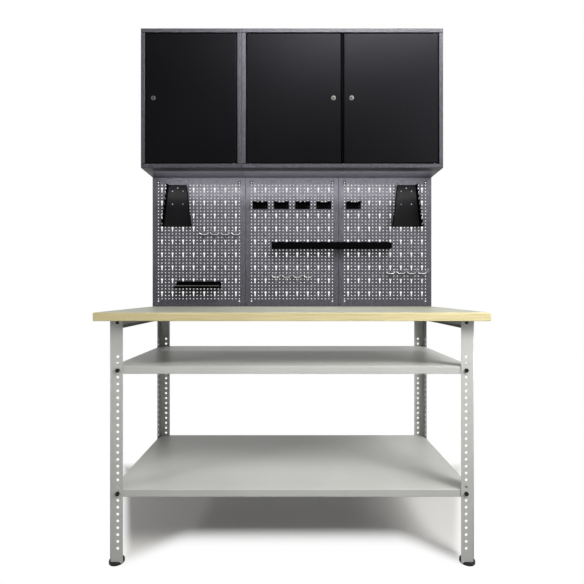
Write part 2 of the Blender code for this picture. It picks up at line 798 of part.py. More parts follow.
def make_hook_mesh():
    """Wire that goes through a keyhole, up the panel and out to a raised tip, with a bar across its stem."""
    top = HOOK_PIN_HEIGHT + HOOK_STEM
    route = [
        (0, -HOOK_REACH, top + HOOK_RISE),
        (0, HOOK_TIP - HOOK_REACH, top),
        (0, -HOOK_WIRE, top),
        (0, -HOOK_WIRE, HOOK_PIN_HEIGHT),
        (0, HOOK_PIN - HOOK_WIRE, HOOK_PIN_HEIGHT),
    ]
    depth = HOOK_BAR_OVERLAP - 3 * HOOK_WIRE
    height = top - HOOK_BAR_DROP
    bar = [
        (-HOOK_BAR / 2, depth, height + HOOK_BAR_RISE),
        (-HOOK_BAR_FLAT / 2, depth, height),
        (HOOK_BAR_FLAT / 2, depth, height),
        (HOOK_BAR / 2, depth, height + HOOK_BAR_RISE),
    ]
    hook = place_helper("hook", wire("hook", route))
    brace = place_helper("hook_bar", wire("hook_bar", bar))
    combine(hook, "UNION", brace)
    mesh = bake(hook)
    bpy.data.objects.remove(brace)
    return shade_round(mesh)


def make_hooks():
    mesh = make_hook_mesh()
    rows = keyhole_rows()
    number = 0
    for panel, first, row, drop in HOOK_GROUPS:
        for i in range(HOOKS_IN_GROUP):
            number += 1
            x = PANEL_CENTRES[panel] + grid_x(first + i * KEYHOLE_COLUMN_STEP)
            location = (x, PANEL_FRONT - TOUCH, grid_z(rows[row]) - drop)
            place(f"wire_hook_{number:02d}", mesh, ZINC, location)


# Cabinets

def make_carcass(name, x, width, pivots):
    """Wrapped sides, top and bottom, folded inwards round the doorway, with bores for the pivot pins."""
    steps = [
        (0, CABINET_DEPTH),
        (0, 0),
        (CABINET_FACE, 0),
        (CABINET_FACE, CABINET_RETURN),
    ]
    mesh = rectangle_sheet(name, width, CABINET_HEIGHT, steps, capped=False)
    carcass = place(name, mesh, HAMMER_PAINT, (x, CABINET_FRONT, CABINET_MIDDLE))
    give_thickness(carcass, CABINET_SHEET)
    for number, pivot_x in enumerate(pivots, start=1):
        length = CABINET_HEIGHT - CABINET_FACE
        bore = cylinder(f"{name}_bore_{number}", PIN_RADIUS + PIN_CLEARANCE, length, PIN_SIDES)
        location = (pivot_x, CABINET_FRONT + PIVOT_DEPTH, CABINET_MIDDLE)
        combine(carcass, "DIFFERENCE", place_helper(bore.name, bore, location))


def make_back(name, x, width):
    """Back panel let in between the carcass walls, flush with their rear edge."""
    inset = 2 * (CABINET_SHEET + TOUCH)
    steps = [(0, BACK_LIP)]
    mesh = rectangle_sheet(name, width - inset, CABINET_HEIGHT - inset, steps, capped=True)
    back = place(name, mesh, HAMMER_PAINT, (x, WALL, CABINET_MIDDLE), (0, 0, math.pi))
    give_thickness(back, CABINET_SHEET)


def make_inner_shelf(name, x, width):
    """Shelf riveted between the side walls, in front of the back panel."""
    front = CABINET_FRONT + INNER_SHELF_SETBACK
    rear = WALL - BACK_LIP - TOUCH
    steps = [(0, INNER_SHELF_LIP)]
    clear_width = width - 2 * (CABINET_SHEET + TOUCH)
    mesh = rectangle_sheet(name, clear_width, rear - front, steps, capped=True)
    location = (x, (front + rear) / 2, CABINET_BOTTOM + INNER_SHELF_HEIGHT)
    shelf = place(name, mesh, HAMMER_PAINT, location, (-math.pi / 2, 0, 0))
    give_thickness(shelf, CABINET_SHEET)


def make_lugs(prefix, x, width):
    """Hanging lugs on the cabinet's top, level with its rear edge."""
    half = LUG_WIDTH / 2
    centre = LUG_HEIGHT - LUG_TOP_RADIUS
    crown = arc(LUG_TOP_RADIUS, (0, centre), LUG_SHOULDER, 180 - LUG_SHOULDER)
    outline = [(-half, 0), (half, 0), *crown]
    hole = ring(LUG_HOLE_RADIUS, LUG_HOLE_SIDES, (0, centre))
    for side, sign in (("left", -1), ("right", 1)):
        bm = flat_sheet("lug", outline, [hole], (-1, 0, 0), (0, 0, 1))
        fold_edges(bm, [edge for edge in bm.edges if on_line(edge, 2, 0)], (0, -LUG_FOOT, 0))
        location = (x + sign * (width / 2 - LUG_INSET), WALL, CABINET_TOP + TOUCH)
        lug = place(f"{prefix}_lug_{side}", finish_mesh(bm, "lug"), BLACK_STEEL, location)
        give_thickness(lug, LUG_SHEET)


def make_door(name, hinge_x, sign, width):
    """Inset pan on two pivot pins. It reaches from its hinge edge in the direction of sign.

    The object's origin lies on the pivot axis.
    """
    steps = [(0, DOOR_THICKNESS), (DOOR_LIP, DOOR_THICKNESS)]
    mesh = rectangle_sheet(name, width, DOOR_HEIGHT, steps, capped=True)
    shift = (sign * (width / 2 - PIVOT_INSET), DOOR_RECESS - PIVOT_DEPTH, 0)
    mesh.transform(Matrix.Translation(shift))
    pivot = (hinge_x + sign * PIVOT_INSET, CABINET_FRONT + PIVOT_DEPTH, CABINET_MIDDLE)
    door = place(name, mesh, DOOR_PAINT, pivot)
    give_thickness(door, DOOR_SHEET)
    lock_x = sign * (width - PIVOT_INSET - LOCK_INSET)
    hole = cylinder(f"{name}_lock_hole", LOCK_BODY_RADIUS + LOCK_HOLE_CLEARANCE, DOOR_THICKNESS)
    cutter = place_helper(hole.name, hole, (lock_x, shift[1], 0), (math.pi / 2, 0, 0))
    cutter.parent = door
    combine(door, "DIFFERENCE", cutter)
    for end, up in (("top", 1), ("bottom", -1)):
        pin = cylinder(f"{name}_pin_{end}", PIN_RADIUS, 2 * PIN_LENGTH, PIN_SIDES)
        stub = place_helper(pin.name, pin, (0, 0, up * DOOR_HEIGHT / 2))
        stub.parent = door
        combine(door, "UNION", stub)
    return door, Vector((lock_x, shift[1], 0))


def make_barrel_mesh():
    """Flanged lock barrel, bored for its plug; local +Z looks out of the door."""
    bore = PLUG_RADIUS + PLUG_CLEARANCE
    front = TOUCH + LOCK_FLANGE
    rear = DOOR_RECESS - CAM_DEPTH + CAM_CLEARANCE
    profile = [
        (LOCK_FLANGE_RADIUS, front),
        (LOCK_FLANGE_RADIUS, TOUCH),
        (LOCK_BODY_RADIUS, TOUCH),
        (LOCK_BODY_RADIUS, rear),
        (bore, rear),
        (bore, front),
    ]
    return shade_round(bake(turned("lock_barrel", profile, ROUND_SIDES, closed=True)))


def make_cam_mesh():
    """Key plug with the cam on its inner end; the cam hangs down, along local -Y."""
    front = TOUCH + LOCK_FLANGE - PLUG_RECESS
    rear = DOOR_RECESS - CAM_DEPTH - CAM_SHEET
    plug = place_helper("lock_cam", cylinder("lock_cam", PLUG_RADIUS, front - rear))
    plug.location.z = (front + rear) / 2
    half = CAM_WIDTH / 2
    tip = arc(half, (0, half - CAM_REACH), 180, 360)
    outline = tip + [(half, half), (-half, half)]
    arm = place_helper("cam_arm", plate("cam_arm", outline, CAM_SHEET))
    arm.location.z = rear + CAM_SHEET / 2
    keyway = place_helper("keyway", box("keyway", (KEYWAY_WIDTH, KEYWAY_LENGTH, 2 * KEYWAY_DEPTH)))
    keyway.location.z = front
    combine(plug, "UNION", arm)
    combine(plug, "DIFFERENCE", keyway)
    middle = plug.location.z
    mesh = bake(plug)
    mesh.transform(Matrix.Translation((0, 0, middle)))
    bpy.data.objects.remove(arm)
    bpy.data.objects.remove(keyway)
    return shade_round(mesh)


def make_lock(door, spot, barrel_name, cam_name, barrel_mesh, cam_mesh):
    outwards = (math.pi / 2, 0, 0)
    for name, mesh in ((barrel_name, barrel_mesh), (cam_name, cam_mesh)):
        piece = place(name, mesh, LOCK_STEEL, spot, outwards)
        piece.parent = door


def make_strike(side_x):
    """Angle keeper tucked behind the doorway's folded edge, on the lock side of the single cabinet."""
    web = CABINET_FACE - CABINET_SHEET - TOUCH - KEEPER_SHEET
    rear = KEEPER_DEPTH + KEEPER_SHEET
    reach = CABINET_FACE + KEEPER_WIDTH
    profile = [(web, rear - STRIKE_LEG), (web, rear), (reach, rear)]
    inside = (reach, rear - STRIKE_LEG)
    mesh = profile_sheet("single_strike", profile, inside, 2, STRIKE_HEIGHT)
    location = (side_x, CABINET_FRONT, CABINET_MIDDLE)
    give_thickness(place("single_strike", mesh, HAMMER_PAINT, location), KEEPER_SHEET)


def make_post(x):
    """Hat-section post between the two doors; the cams turn behind its flanges."""
    web = POST_WEB / 2
    profile = [
        (-KEEPER_WIDTH, KEEPER_DEPTH),
        (-web, KEEPER_DEPTH),
        (-web, POST_RECESS),
        (web, POST_RECESS),
        (web, KEEPER_DEPTH),
        (KEEPER_WIDTH, KEEPER_DEPTH),
    ]
    inside = (-KEEPER_WIDTH, CABINET_DEPTH)
    length = CABINET_HEIGHT - 2 * (CABINET_FACE + TOUCH)
    mesh = profile_sheet("double_post", profile, inside, 2, length)
    location = (x, CABINET_FRONT, CABINET_MIDDLE)
    give_thickness(place("double_post", mesh, DOOR_PAINT, location), KEEPER_SHEET)


def make_cabinets():
    row_left = -(SINGLE_WIDTH + CABINET_GAP + DOUBLE_WIDTH) / 2
    single_x = row_left + SINGLE_WIDTH / 2
    double_x = row_left + SINGLE_WIDTH + CABINET_GAP + DOUBLE_WIDTH / 2
    rim = CABINET_FACE + DOOR_GAP
    barrel_mesh = make_barrel_mesh()
    cam_mesh = make_cam_mesh()

    hinge = single_x + SINGLE_WIDTH / 2 - rim
    make_carcass("single_carcass", single_x, SINGLE_WIDTH, [hinge - PIVOT_INSET])
    make_back("single_back", single_x, SINGLE_WIDTH)
    make_inner_shelf("single_shelf", single_x, SINGLE_WIDTH)
    make_lugs("single", single_x, SINGLE_WIDTH)
    make_strike(row_left)
    door, spot = make_door("single_door", hinge, -1, SINGLE_WIDTH - 2 * rim)
    make_lock(door, spot, "single_lock_barrel", "single_lock_cam", barrel_mesh, cam_mesh)

    reach = DOUBLE_WIDTH / 2 - rim
    hinges = {"left": (double_x - reach, 1), "right": (double_x + reach, -1)}
    pivots = [hinge + sign * PIVOT_INSET for hinge, sign in hinges.values()]
    make_carcass("double_carcass", double_x, DOUBLE_WIDTH, pivots)
    make_back("double_back", double_x, DOUBLE_WIDTH)
    make_inner_shelf("double_shelf", double_x, DOUBLE_WIDTH)
    make_lugs("double", double_x, DOUBLE_WIDTH)
    make_post(double_x)
    width = reach - DOOR_MEETING_GAP / 2
    for side, (hinge, sign) in hinges.items():
        door, spot = make_door(f"double_door_{side}", hinge, sign, width)
        names = (f"double_lock_barrel_{side}", f"double_lock_cam_{side}")
        make_lock(door, spot, *names, barrel_mesh, cam_mesh)


make_worktop()
make_legs_and_feet()
make_top_rails()
make_bench_shelves()
make_panels()
make_racks()
make_holders()
make_rails_and_tray()
make_hooks()
make_cabinets()
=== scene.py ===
"""Looks of the steel workbench with its tool wall and wall cabinets, drawn over its solids.

Metres, in the frame of the solids: +Z up, +Y towards the wall, the floor at height 0.
"""

import math

import bmesh
import bpy
from mathutils import Matrix, Vector


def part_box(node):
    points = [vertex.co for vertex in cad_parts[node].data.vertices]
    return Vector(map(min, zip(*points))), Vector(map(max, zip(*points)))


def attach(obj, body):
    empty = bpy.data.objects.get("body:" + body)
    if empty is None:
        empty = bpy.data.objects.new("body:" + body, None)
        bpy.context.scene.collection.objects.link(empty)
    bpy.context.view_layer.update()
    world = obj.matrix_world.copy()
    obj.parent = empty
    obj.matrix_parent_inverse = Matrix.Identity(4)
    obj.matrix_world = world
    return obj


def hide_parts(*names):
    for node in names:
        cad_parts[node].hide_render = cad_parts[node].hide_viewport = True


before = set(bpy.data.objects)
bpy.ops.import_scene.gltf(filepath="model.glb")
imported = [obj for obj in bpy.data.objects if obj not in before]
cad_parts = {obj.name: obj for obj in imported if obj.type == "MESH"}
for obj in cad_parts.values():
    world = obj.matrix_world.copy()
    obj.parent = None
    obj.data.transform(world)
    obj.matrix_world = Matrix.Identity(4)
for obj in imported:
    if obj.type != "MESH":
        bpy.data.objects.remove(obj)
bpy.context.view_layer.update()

MM = 0.001
WELD = 0.002 * MM
TOUCH = 0.3 * MM
SOFT_EDGE = 0.3 * MM
BEND_STEPS = 5
ARC_POINTS = 13
LEAST_CORNER = 0.3 * MM
ROUND_SIDES = 16
SHARP_ANGLE = 30
TO_FRONT = Matrix.Rotation(math.pi / 2, 4, "X")
TO_REAR = Matrix.Rotation(-math.pi / 2, 4, "X")
TO_INSIDE = Matrix.Rotation(math.pi / 2, 4, "Y") @ Matrix.Rotation(math.pi / 2, 4, "Z")
LAID_FLAT = (-math.pi / 2, 0, 0)
STOOD_UP = (math.pi / 2, 0, 0)
TURNED_ROUND = (0, 0, math.pi)

# Worktop
WORKTOP_EDGE = 2 * MM
EDGE_STEPS = 3
EDGE_AREA = 0.01
LEVEL = 0.9

# Punched angle legs and their feet
LEG_FLANGE = 44 * MM
LEG_SHEET = 1.2 * MM
LEG_BEND = 4 * MM
LEG_HOLE = 4.9 * MM
LEG_HOLE_SIDES = 12
LEG_HOLE_LINE = 27 * MM
LEG_HOLE_PITCH = 23 * MM
LEG_FIRST_HOLE = 122 * MM
LEG_HOLES = 29
LEG_TOP_HOLE = 7.5 * MM
FOOT_RADIUS = 25.5 * MM
FOOT_INSET = 17 * MM
FOOT_HEIGHT = 10 * MM
FOOT_FLOOR = 5 * MM
FOOT_CROWN = 2.5 * MM
FOOT_BASE = 1 * MM
FOOT_SIDES = 48

# Bolts of the bench
BOLT_SHANK = 4 * MM
BOLT_RADIUS = 7.5 * MM
TOP_BOLT_RADIUS = 5.8 * MM
BOLT_HEAD = 5.3 * MM
BOLT_EDGE = 0.7 * MM
BOLT_ROOT = 1 * MM
BOLT_END = 3 * MM
BOLT_CHAMFER = 0.5 * MM
NUT_HEIGHT = 6.5 * MM
BOLTED_SHEET = 1.8 * MM
SHELF_BOLTS = (2, 20)

# Channels under the worktop, and shelves
CHANNEL_SHEET = 1.5 * MM
CHANNEL_BEND = 2.5 * MM
CHANNEL_HOLE = 3.5 * MM
CHANNEL_SHARES = (0.16, 0.5, 0.84)
SHELF_SHEET = 1.2 * MM
SHELF_BEND = 1.8 * MM
SHELF_CORNER = 20 * MM
SHELF_RETURN = 12 * MM

# Perforated panels
PANEL_SHEET = 1.2 * MM
PANEL_BEND = 2.2 * MM
PANEL_CORNER = 1.5 * MM
GRID_COLUMNS = 24
GRID_ROWS = 36
PITCH_X = 16.4 * MM
PITCH_Z = 15.1 * MM
PEG_HOLE = 2.7 * MM
PEG_HOLE_SIDES = 10
KEY_HEAD = 5 * MM
KEY_SLOT = 2.5 * MM
KEY_LENGTH = 23.6 * MM
KEY_COLUMNS = range(1, 24, 3)
KEY_ROWS = range(1, 36, 4)
CORNER_HOLE = 3.4 * MM
CORNER_ROWS = (-0.8, 35.75)
EYELET_FACE = 6.6 * MM
EYELET_RADIUS = 7.4 * MM
EYELET_HEIGHT = 1 * MM
EYELET_SIDES = 24

# Spanner racks; pairs run from the bottom to the top
RACK_HALF = (65.5 * MM, 42 * MM)
RACK_DEPTH = (48 * MM, 30 * MM)
RACK_SPLAY = 4 * MM
RACK_SHEET = 1.5 * MM
RACK_END = 0.03
RACK_SLOTS = 8
RACK_SLOT_ROOT = 0.15
RACK_SLOT_SHARE = 0.55
RACK_RIVET = (2.6 * MM, 1.3 * MM)
RACK_RIVET_ASIDE = 1.5 * PITCH_X
RACK_RIVET_HEIGHTS = (68 * MM, 7.6 * MM)
RACK_TOP_RIVET = 16 * MM
RACK_SHARP_ANGLE = 40
# Faces turned this far sideways take the darker black: painted shade
SHADED_SIDE_FACING = 0.5
RIVET_SHARP_ANGLE = 50
DOME_TURNS = [math.radians(turn) for turn in (30, 60, 90)]

# Small tool holders; slots as their left and right ends
HOLDER_HALF = 34.5 * MM
HOLDER_DEPTH = 36 * MM
HOLDER_ROOT = 12 * MM
HOLDER_SHEET = 2 * MM
HOLDER_BEND = 3 * MM
HOLDER_EDGE = 0.4 * MM
HOLDER_SHARP_ANGLE = 35
NARROW_SLOTS = ((-17 * MM, -7 * MM), (7 * MM, 17 * MM))
WIDE_SLOT = ((-17 * MM, 17 * MM),)
HOLDER_SLOTS = (NARROW_SLOTS, WIDE_SLOT, NARROW_SLOTS, WIDE_SLOT, WIDE_SLOT)
HOLDER_RIVET = (2.4 * MM, 1.1 * MM)
HOLDER_RIVET_ASIDE = 24 * MM
HOLDER_RIVET_DROP = 17 * MM

# Tool rails and tray
TROUGH_LIPS = {"tool_rail_left": 26 * MM, "tool_rail_right": 26 * MM, "tool_tray": 12 * MM}
TROUGH_SHEET = 1.3 * MM
TROUGH_BEND = 1.75 * MM
HEM_DEPTH = 3.6 * MM
HEM_DROP = 6 * MM
# Nickel strip along the tray's lip: a painted highlight
HIGHLIGHT_HALF = 0.6 * MM
HIGHLIGHT_DROP = 3.6 * MM
HIGHLIGHT_RISE = 0.4 * MM
HIGHLIGHT_EDGE = 0.5 * MM

# Wire hooks
HOOK_COUNT = 12
HOOK_WIRE = 2 * MM
HOOK_BEND = 4.5 * MM
HOOK_REACH = 90 * MM
HOOK_TIP = 10 * MM
HOOK_RISE = 12 * MM
HOOK_STEM = 32 * MM
HOOK_PIN = 6 * MM
HOOK_BAR = 20 * MM
HOOK_BAR_FLAT = 13 * MM
HOOK_BAR_RISE = 9 * MM
HOOK_BAR_HEIGHT = 25.5 * MM
HOOK_BAR_DEPTH = 4.6 * MM
HOOK_END_EDGE = 0.5 * MM
HOOK_END_ANGLE = 60
HOOK_SHARP_ANGLE = 40
# Half width of the hook's stem that takes the darker zinc: painted shade
HOOK_SHADE_HALF = 1.2 * HOOK_WIRE
SOLID_HOOK_SIDES = 6

# Cabinets
CASE_SHEET = 1.2 * MM
CASE_BEND = 2 * MM
CASE_CORNER = 0.8 * MM
FRAME_FACE = 18 * MM
FRAME_RETURN = 18 * MM
SEAM = 2.2 * MM
SEAM_DEPTH = 1.25 * MM
SEAM_START = 2.4 * MM
SEAM_OVERRUN = 0.4 * MM
# Margin and depths of the doorway's fold that is painted black as the shade in the doors' gaps
GAP_SHADE_MARGIN = 1.6 * MM
GAP_SHADE_DEPTHS = (1.9 * MM, 50 * MM)
LUG_SHEET = 3 * MM
LUG_BEND = 4 * MM
LUG_TOP = 15 * MM
LUG_SHOULDERS = (150, 30)
LUG_HOLE = 5.5 * MM
LUG_HOLE_SIDES = 24
KEEPER_SHEET = 1.5 * MM
STRIKE_BEND = 2.2 * MM
POST_BEND = 1.8 * MM
POST_HALF_WEB = 4.5 * MM

# Doors and locks; DOORS has the end of each door's names and the edge that it hangs by
DOORS = {"single": {"": "right"}, "double": {"_left": "left", "_right": "right"}}
DOOR_SHEET = 1 * MM
DOOR_THICKNESS = 16 * MM
DOOR_LIP = 12 * MM
DOOR_BEND = 2 * MM
DOOR_CORNER = 1.5 * MM
DOOR_EASE = 1 * MM
PIVOT_INSET = 13 * MM
PIVOT_DEPTH = 9 * MM
PIN_RADIUS = 3 * MM
PIN_BORE = 3.3 * MM
PIN_LENGTH = 6 * MM
PIN_ROOT = 5 * MM
PIN_CHAMFER = 0.6 * MM
PIN_SIDES = 20
LOCK_HOLE = 8.4 * MM
LOCK_HOLE_SIDES = 32
BARREL_FRONT_MM = ((5.8, 1.2), (6.6, 0.2), (8.2, 0), (9.4, 0.4), (10, 1.2), (10, 2), (8, 2))
BARREL_SIDES = 48
PLUG_RADIUS = 5.5 * MM
PLUG_CHAMFER = 0.5 * MM
PLUG_SIDES = 40
KEYWAY_HALF = (0.8 * MM, 3.7 * MM)
KEYWAY_DEPTH = 4 * MM
CAM_REACH = 24 * MM
CAM_HALF = 6 * MM
CAM_SHEET = 2 * MM

# Studio
FLOOR_HALF = 40
FLOOR_LIT = (0.83, 0.815, 0.79)
FLOOR_BOUNCE = 0.35
FAR_BOUNCE = 0.2
SHADOW_MIDDLE = 0.15
SHADOW_WIDTH = (0.63, 0.69)
SHADOW_DEPTH = (0.165, 0.315)
SHADOW_FLARE = 0.41
SHADOW_ENDS = (0.38, 0.6)
SHADOW_REACH = 0.13
SHADOW_LIFT = 0.035
WORLD_LIGHT = 0.2
SENSOR = 36
LENS = 25.54
EYE = (0, -1.65, 0.917)


# Outlines

def arc(centre, radius, start, end, count):
    """Points along part of a circle, between two angles in degrees, both ends included."""
    turns = [math.radians(start + (end - start) * i / (count - 1)) for i in range(count)]
    return [(centre[0] + radius * math.cos(a), centre[1] + radius * math.sin(a)) for a in turns]


def circle(centre, radius, sides=ROUND_SIDES):
    return arc(centre, radius, 0, 360 - 360 / sides, sides)


def rounded_path(points, radius):
    """A bent line as its flats, (start, end, trim at start), and the arcs that join them."""
    points = [Vector(point) for point in points]
    trims = [0.0] * len(points)
    arcs = []
    for i in range(1, len(points) - 1):
        before = (points[i] - points[i - 1]).normalized()
        after = (points[i + 1] - points[i]).normalized()
        turn = math.atan2(before.x * after.y - before.y * after.x, before.dot(after))
        trims[i] = radius * math.tan(abs(turn) / 2)
        side = Vector((-before.y, before.x)) * math.copysign(radius, turn)
        centre = points[i] - before * trims[i] + side
        spokes = [Matrix.Rotation(turn * k / BEND_STEPS, 2) @ -side for k in range(BEND_STEPS + 1)]
        arcs.append([centre + spoke for spoke in spokes])
    flats = []
    for i in range(len(points) - 1):
        along = (points[i + 1] - points[i]).normalized()
        flats.append((points[i] + along * trims[i], points[i + 1] - along * trims[i + 1], trims[i]))
    return flats, arcs


def rounded_rectangle(half_x, half_y, radius):
    """Corner arcs of a rectangle, anticlockwise."""
    centres = [(1, 1, 0), (-1, 1, 90), (-1, -1, 180), (1, -1, 270)]
    points = []
    for x, y, start in centres:
        centre = (x * (half_x - radius), y * (half_y - radius))
        points += arc(centre, radius, start, start + 90, BEND_STEPS)
    return points


# Meshes

def finish_mesh(bm, name):
    mesh = bpy.data.meshes.new(name)
    bm.to_mesh(mesh)
    bm.free()
    return mesh


def opened(mesh):
    """Editable copy of a finished mesh."""
    bm = bmesh.new()
    bm.from_mesh(mesh)
    return bm


def merge(bm, other):
    """Adds another mesh to this one and frees it."""
    mesh = finish_mesh(other, "part")
    bm.from_mesh(mesh)
    bpy.data.meshes.remove(mesh)


def moved(bm, place):
    bmesh.ops.translate(bm, verts=bm.verts, vec=place)
    return bm


def weld(bm):
    bmesh.ops.remove_doubles(bm, verts=bm.verts, dist=WELD)


def face_out(bm):
    bmesh.ops.recalc_face_normals(bm, faces=bm.faces)


def put(name, data):
    """Object of some data, linked to the scene."""
    made = bpy.data.objects.new(name, data)
    bpy.context.scene.collection.objects.link(made)
    return made


def measure(node):
    """Corners, size and middle of a solid's box."""
    low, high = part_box(node)
    return low, high, high - low, (low + high) / 2


def from_curve(lines, closed, **settings):
    """Mesh of a curve that runs through the points of each line."""
    curve = bpy.data.curves.new("guide", "CURVE")
    for key, value in settings.items():
        setattr(curve, key, value)
    for points in lines:
        spline = curve.splines.new("POLY")
        spline.points.add(len(points) - 1)
        for point, place in zip(spline.points, points):
            point.co = (*place, 1)
        spline.use_cyclic_u = closed
    guide = bpy.data.objects.new("guide", curve)
    bm = opened(bpy.data.meshes.new_from_object(guide))
    bpy.data.objects.remove(guide)
    weld(bm)
    return bm


def filled(outline, holes=()):
    """Flat sheet in the XY plane that faces +Z."""
    lines = [[(x, y, 0) for x, y in points] for points in (outline, *holes)]
    bm = from_curve(lines, True, dimensions="2D", fill_mode="BOTH")
    for face in bm.faces:
        face.normal_update()
        if face.normal.z < 0:
            face.normal_flip()
    return bm


def quads(bm, first, second, smooth=False):
    """A strip of faces between two rows of points."""
    for a, b, c, d in zip(first, first[1:], second[1:], second):
        bm.faces.new((a, b, c, d)).smooth = smooth


def folded(profile, radius, low, high, holes=None, ends=None):
    """Open sheet of a bent profile in XY drawn along Z; its steel goes to the left of the profile.

    holes gives, for a flat's number, outlines in (distance from the flat's corner, Z), and ends gives
    the far edge of a last flat, from low to high.
    """
    holes = holes or {}
    ends = ends or {}
    flats, arcs = rounded_path(profile, radius)
    bm = bmesh.new()
    for number, (start, end, trim) in enumerate(flats):
        along = (end - start).normalized()
        corner = start - along * trim
        length = (end - corner).dot(along)
        far = ends.get(number, [(length, low), (length, high)])
        flat = filled([(trim, low), *far, (trim, high)], holes.get(number, ()))
        stand = Matrix(((along.x, 0, along.y), (along.y, 0, -along.x), (0, 1, 0)))
        flat.transform(Matrix.Translation((*corner, 0)) @ stand.to_4x4())
        merge(bm, flat)
    for bend in arcs:
        rows = [[bm.verts.new((*point, z)) for point in bend] for z in (low, high)]
        quads(bm, *rows, smooth=True)
    weld(bm)
    return bm


def upright(bm, location):
    """Turns a folded sheet's (X, Y, Z) into (Y, Z, X) and moves it into place."""
    turn = Matrix(((0, 0, 1, 0), (1, 0, 0, 0), (0, 1, 0, 0), (0, 0, 0, 1)))
    bm.transform(Matrix.Translation(location) @ turn)
    return bm


def pan(width, height, path, radius, corner, holes=(), capped=True):
    """Open sheet through rounded rectangles in XZ, along (inset, depth) steps with rounded bends.

    A capped pan starts with a face towards -Y at depth 0, which carries the holes.
    """
    start = [(min(width, height) / 2, 0)] if capped else []
    flats, arcs = rounded_path([*start, *path], radius)
    steps = []
    for number, (begin, end, _) in enumerate(flats):
        if number or not capped:
            steps.append((begin, False))
        steps.append((end, False))
        if number < len(arcs):
            steps += [(point, True) for point in arcs[number][1:-1]]
    bm = bmesh.new()
    rings = []
    for (inset, depth), curved in steps:
        bend = max(corner - inset, LEAST_CORNER)
        loop = rounded_rectangle(width / 2 - inset, height / 2 - inset, bend)
        rings.append(([bm.verts.new((x, depth, z)) for x, z in loop], curved))
    for (first, a), (second, b) in zip(rings, rings[1:]):
        quads(bm, first + first[:1], second + second[:1], smooth=a or b)
    if capped:
        cap = filled([(vert.co.x, vert.co.z) for vert in rings[0][0]], holes)
        cap.transform(TO_FRONT)
        merge(bm, cap)
    weld(bm)
    face_out(bm)
    wall = max(bm.faces, key=lambda face: face.calc_center_median().x)
    if wall.normal.x < 0:
        bmesh.ops.reverse_faces(bm, faces=bm.faces)
    return bm


def baked(bm, name, *modifiers):
    """Mesh of a shape with modifiers applied, each given as (kind, settings)."""
    guide = put(name, finish_mesh(bm, name))
    for kind, settings in modifiers:
        modifier = guide.modifiers.new(kind, kind)
        for key, value in settings.items():
            setattr(modifier, key, value)
    graph = bpy.context.evaluated_depsgraph_get()
    mesh = bpy.data.meshes.new_from_object(guide.evaluated_get(graph))
    bpy.data.objects.remove(guide)
    return mesh


def steel(bm, name, thickness):
    """Gives an open sheet its thickness, behind the side that its faces show."""
    sheet = {"thickness": thickness, "offset": -1, "use_even_offset": True, "use_quality_normals": True}
    return baked(bm, name, ("SOLIDIFY", sheet))


def soft_steel(bm, name, thickness, edge, offset=-1):
    """Gives an open sheet its thickness and eases its edges."""
    sheet = {"thickness": thickness, "offset": offset, "use_even_offset": True}
    edges = {"width": edge, "segments": 2, "limit_method": "ANGLE"}
    return baked(bm, name, ("SOLIDIFY", sheet), ("BEVEL", edges))


def turned(profile, sides=ROUND_SIDES):
    """Closed solid turned about Z from (radius, height) points that run down its outer side."""
    bm = bmesh.new()
    rings = []
    for radius, height in profile:
        if radius < WELD:
            rings.append([bm.verts.new((0, 0, height))])
        else:
            rings.append([bm.verts.new((x, y, height)) for x, y in circle((0, 0), radius, sides)])
    for first, second in zip(rings, rings[1:]):
        for i in range(sides):
            j = (i + 1) % sides
            corners = [first[i % len(first)], second[i % len(second)]]
            corners += [second[j % len(second)], first[j % len(first)]]
            bm.faces.new(dict.fromkeys(corners)).smooth = True
    face_out(bm)
    return bm


def rod(radius, top, bottom, chamfer, sides):
    """Turned rod with a chamfer round its top."""
    upper = [(0, top), (radius - chamfer, top), (radius, top - chamfer)]
    return turned([*upper, (radius, bottom), (0, bottom)], sides)


def block(low, high):
    bm = bmesh.new()
    bmesh.ops.create_cube(bm, size=1)
    low = Vector(low)
    high = Vector(high)
    bmesh.ops.scale(bm, verts=bm.verts, vec=high - low)
    return moved(bm, (low + high) / 2)


def round_edges(bm, width, segments=2, angle=SHARP_ANGLE):
    """Rounds every edge sharper than an angle in degrees."""
    limit = math.radians(angle)
    edges = [e for e in bm.edges if len(e.link_faces) == 2 and e.calc_face_angle() > limit]
    bmesh.ops.bevel(
        bm, geom=edges, offset=width, segments=segments, profile=0.5, affect="EDGES", clamp_overlap=True
    )
    return bm


def extruded(outline, thickness):
    """Solid plate of a flat outline, from height 0 up."""
    bm = filled(outline)
    made = bmesh.ops.extrude_face_region(bm, geom=bm.faces[:])["geom"]
    verts = [item for item in made if isinstance(item, bmesh.types.BMVert)]
    bmesh.ops.translate(bm, verts=verts, vec=(0, 0, thickness))
    face_out(bm)
    return bm


def cut(bm, name, *cutters, operation="DIFFERENCE"):
    """Mesh of a solid with others cut from it or joined to it."""
    guides = []
    steps = []
    for cutter in cutters:
        guide = put("cutter", finish_mesh(cutter, "cutter"))
        guides.append(guide)
        steps.append(("BOOLEAN", {"operation": operation, "object": guide, "solver": "EXACT"}))
    mesh = baked(bm, name, *steps)
    for guide in guides:
        bpy.data.objects.remove(guide)
    return mesh


def mirrored(mesh, flip_x, flip_y):
    copy = mesh.copy()
    copy.transform(Matrix.Diagonal((-1 if flip_x else 1, -1 if flip_y else 1, 1, 1)))
    if flip_x != flip_y:
        copy.flip_normals()
    return copy


def shade(mesh, angle=SHARP_ANGLE):
    """Smooth shading that breaks at edges sharper than an angle in degrees."""
    mesh.shade_smooth()
    mesh.set_sharp_from_angle(angle=math.radians(angle))
    return mesh


# Materials

NOISE = "ShaderNodeTexNoise"
CELLS = "ShaderNodeTexVoronoi"


def new_material(name, roughness, metallic=0.0, specular=0.5):
    material = bpy.data.materials.new(name)
    material.use_nodes = True
    shader = material.node_tree.nodes["Principled BSDF"]
    shader.inputs["Roughness"].default_value = roughness
    shader.inputs["Metallic"].default_value = metallic
    shader.inputs["Specular IOR Level"].default_value = specular
    return material


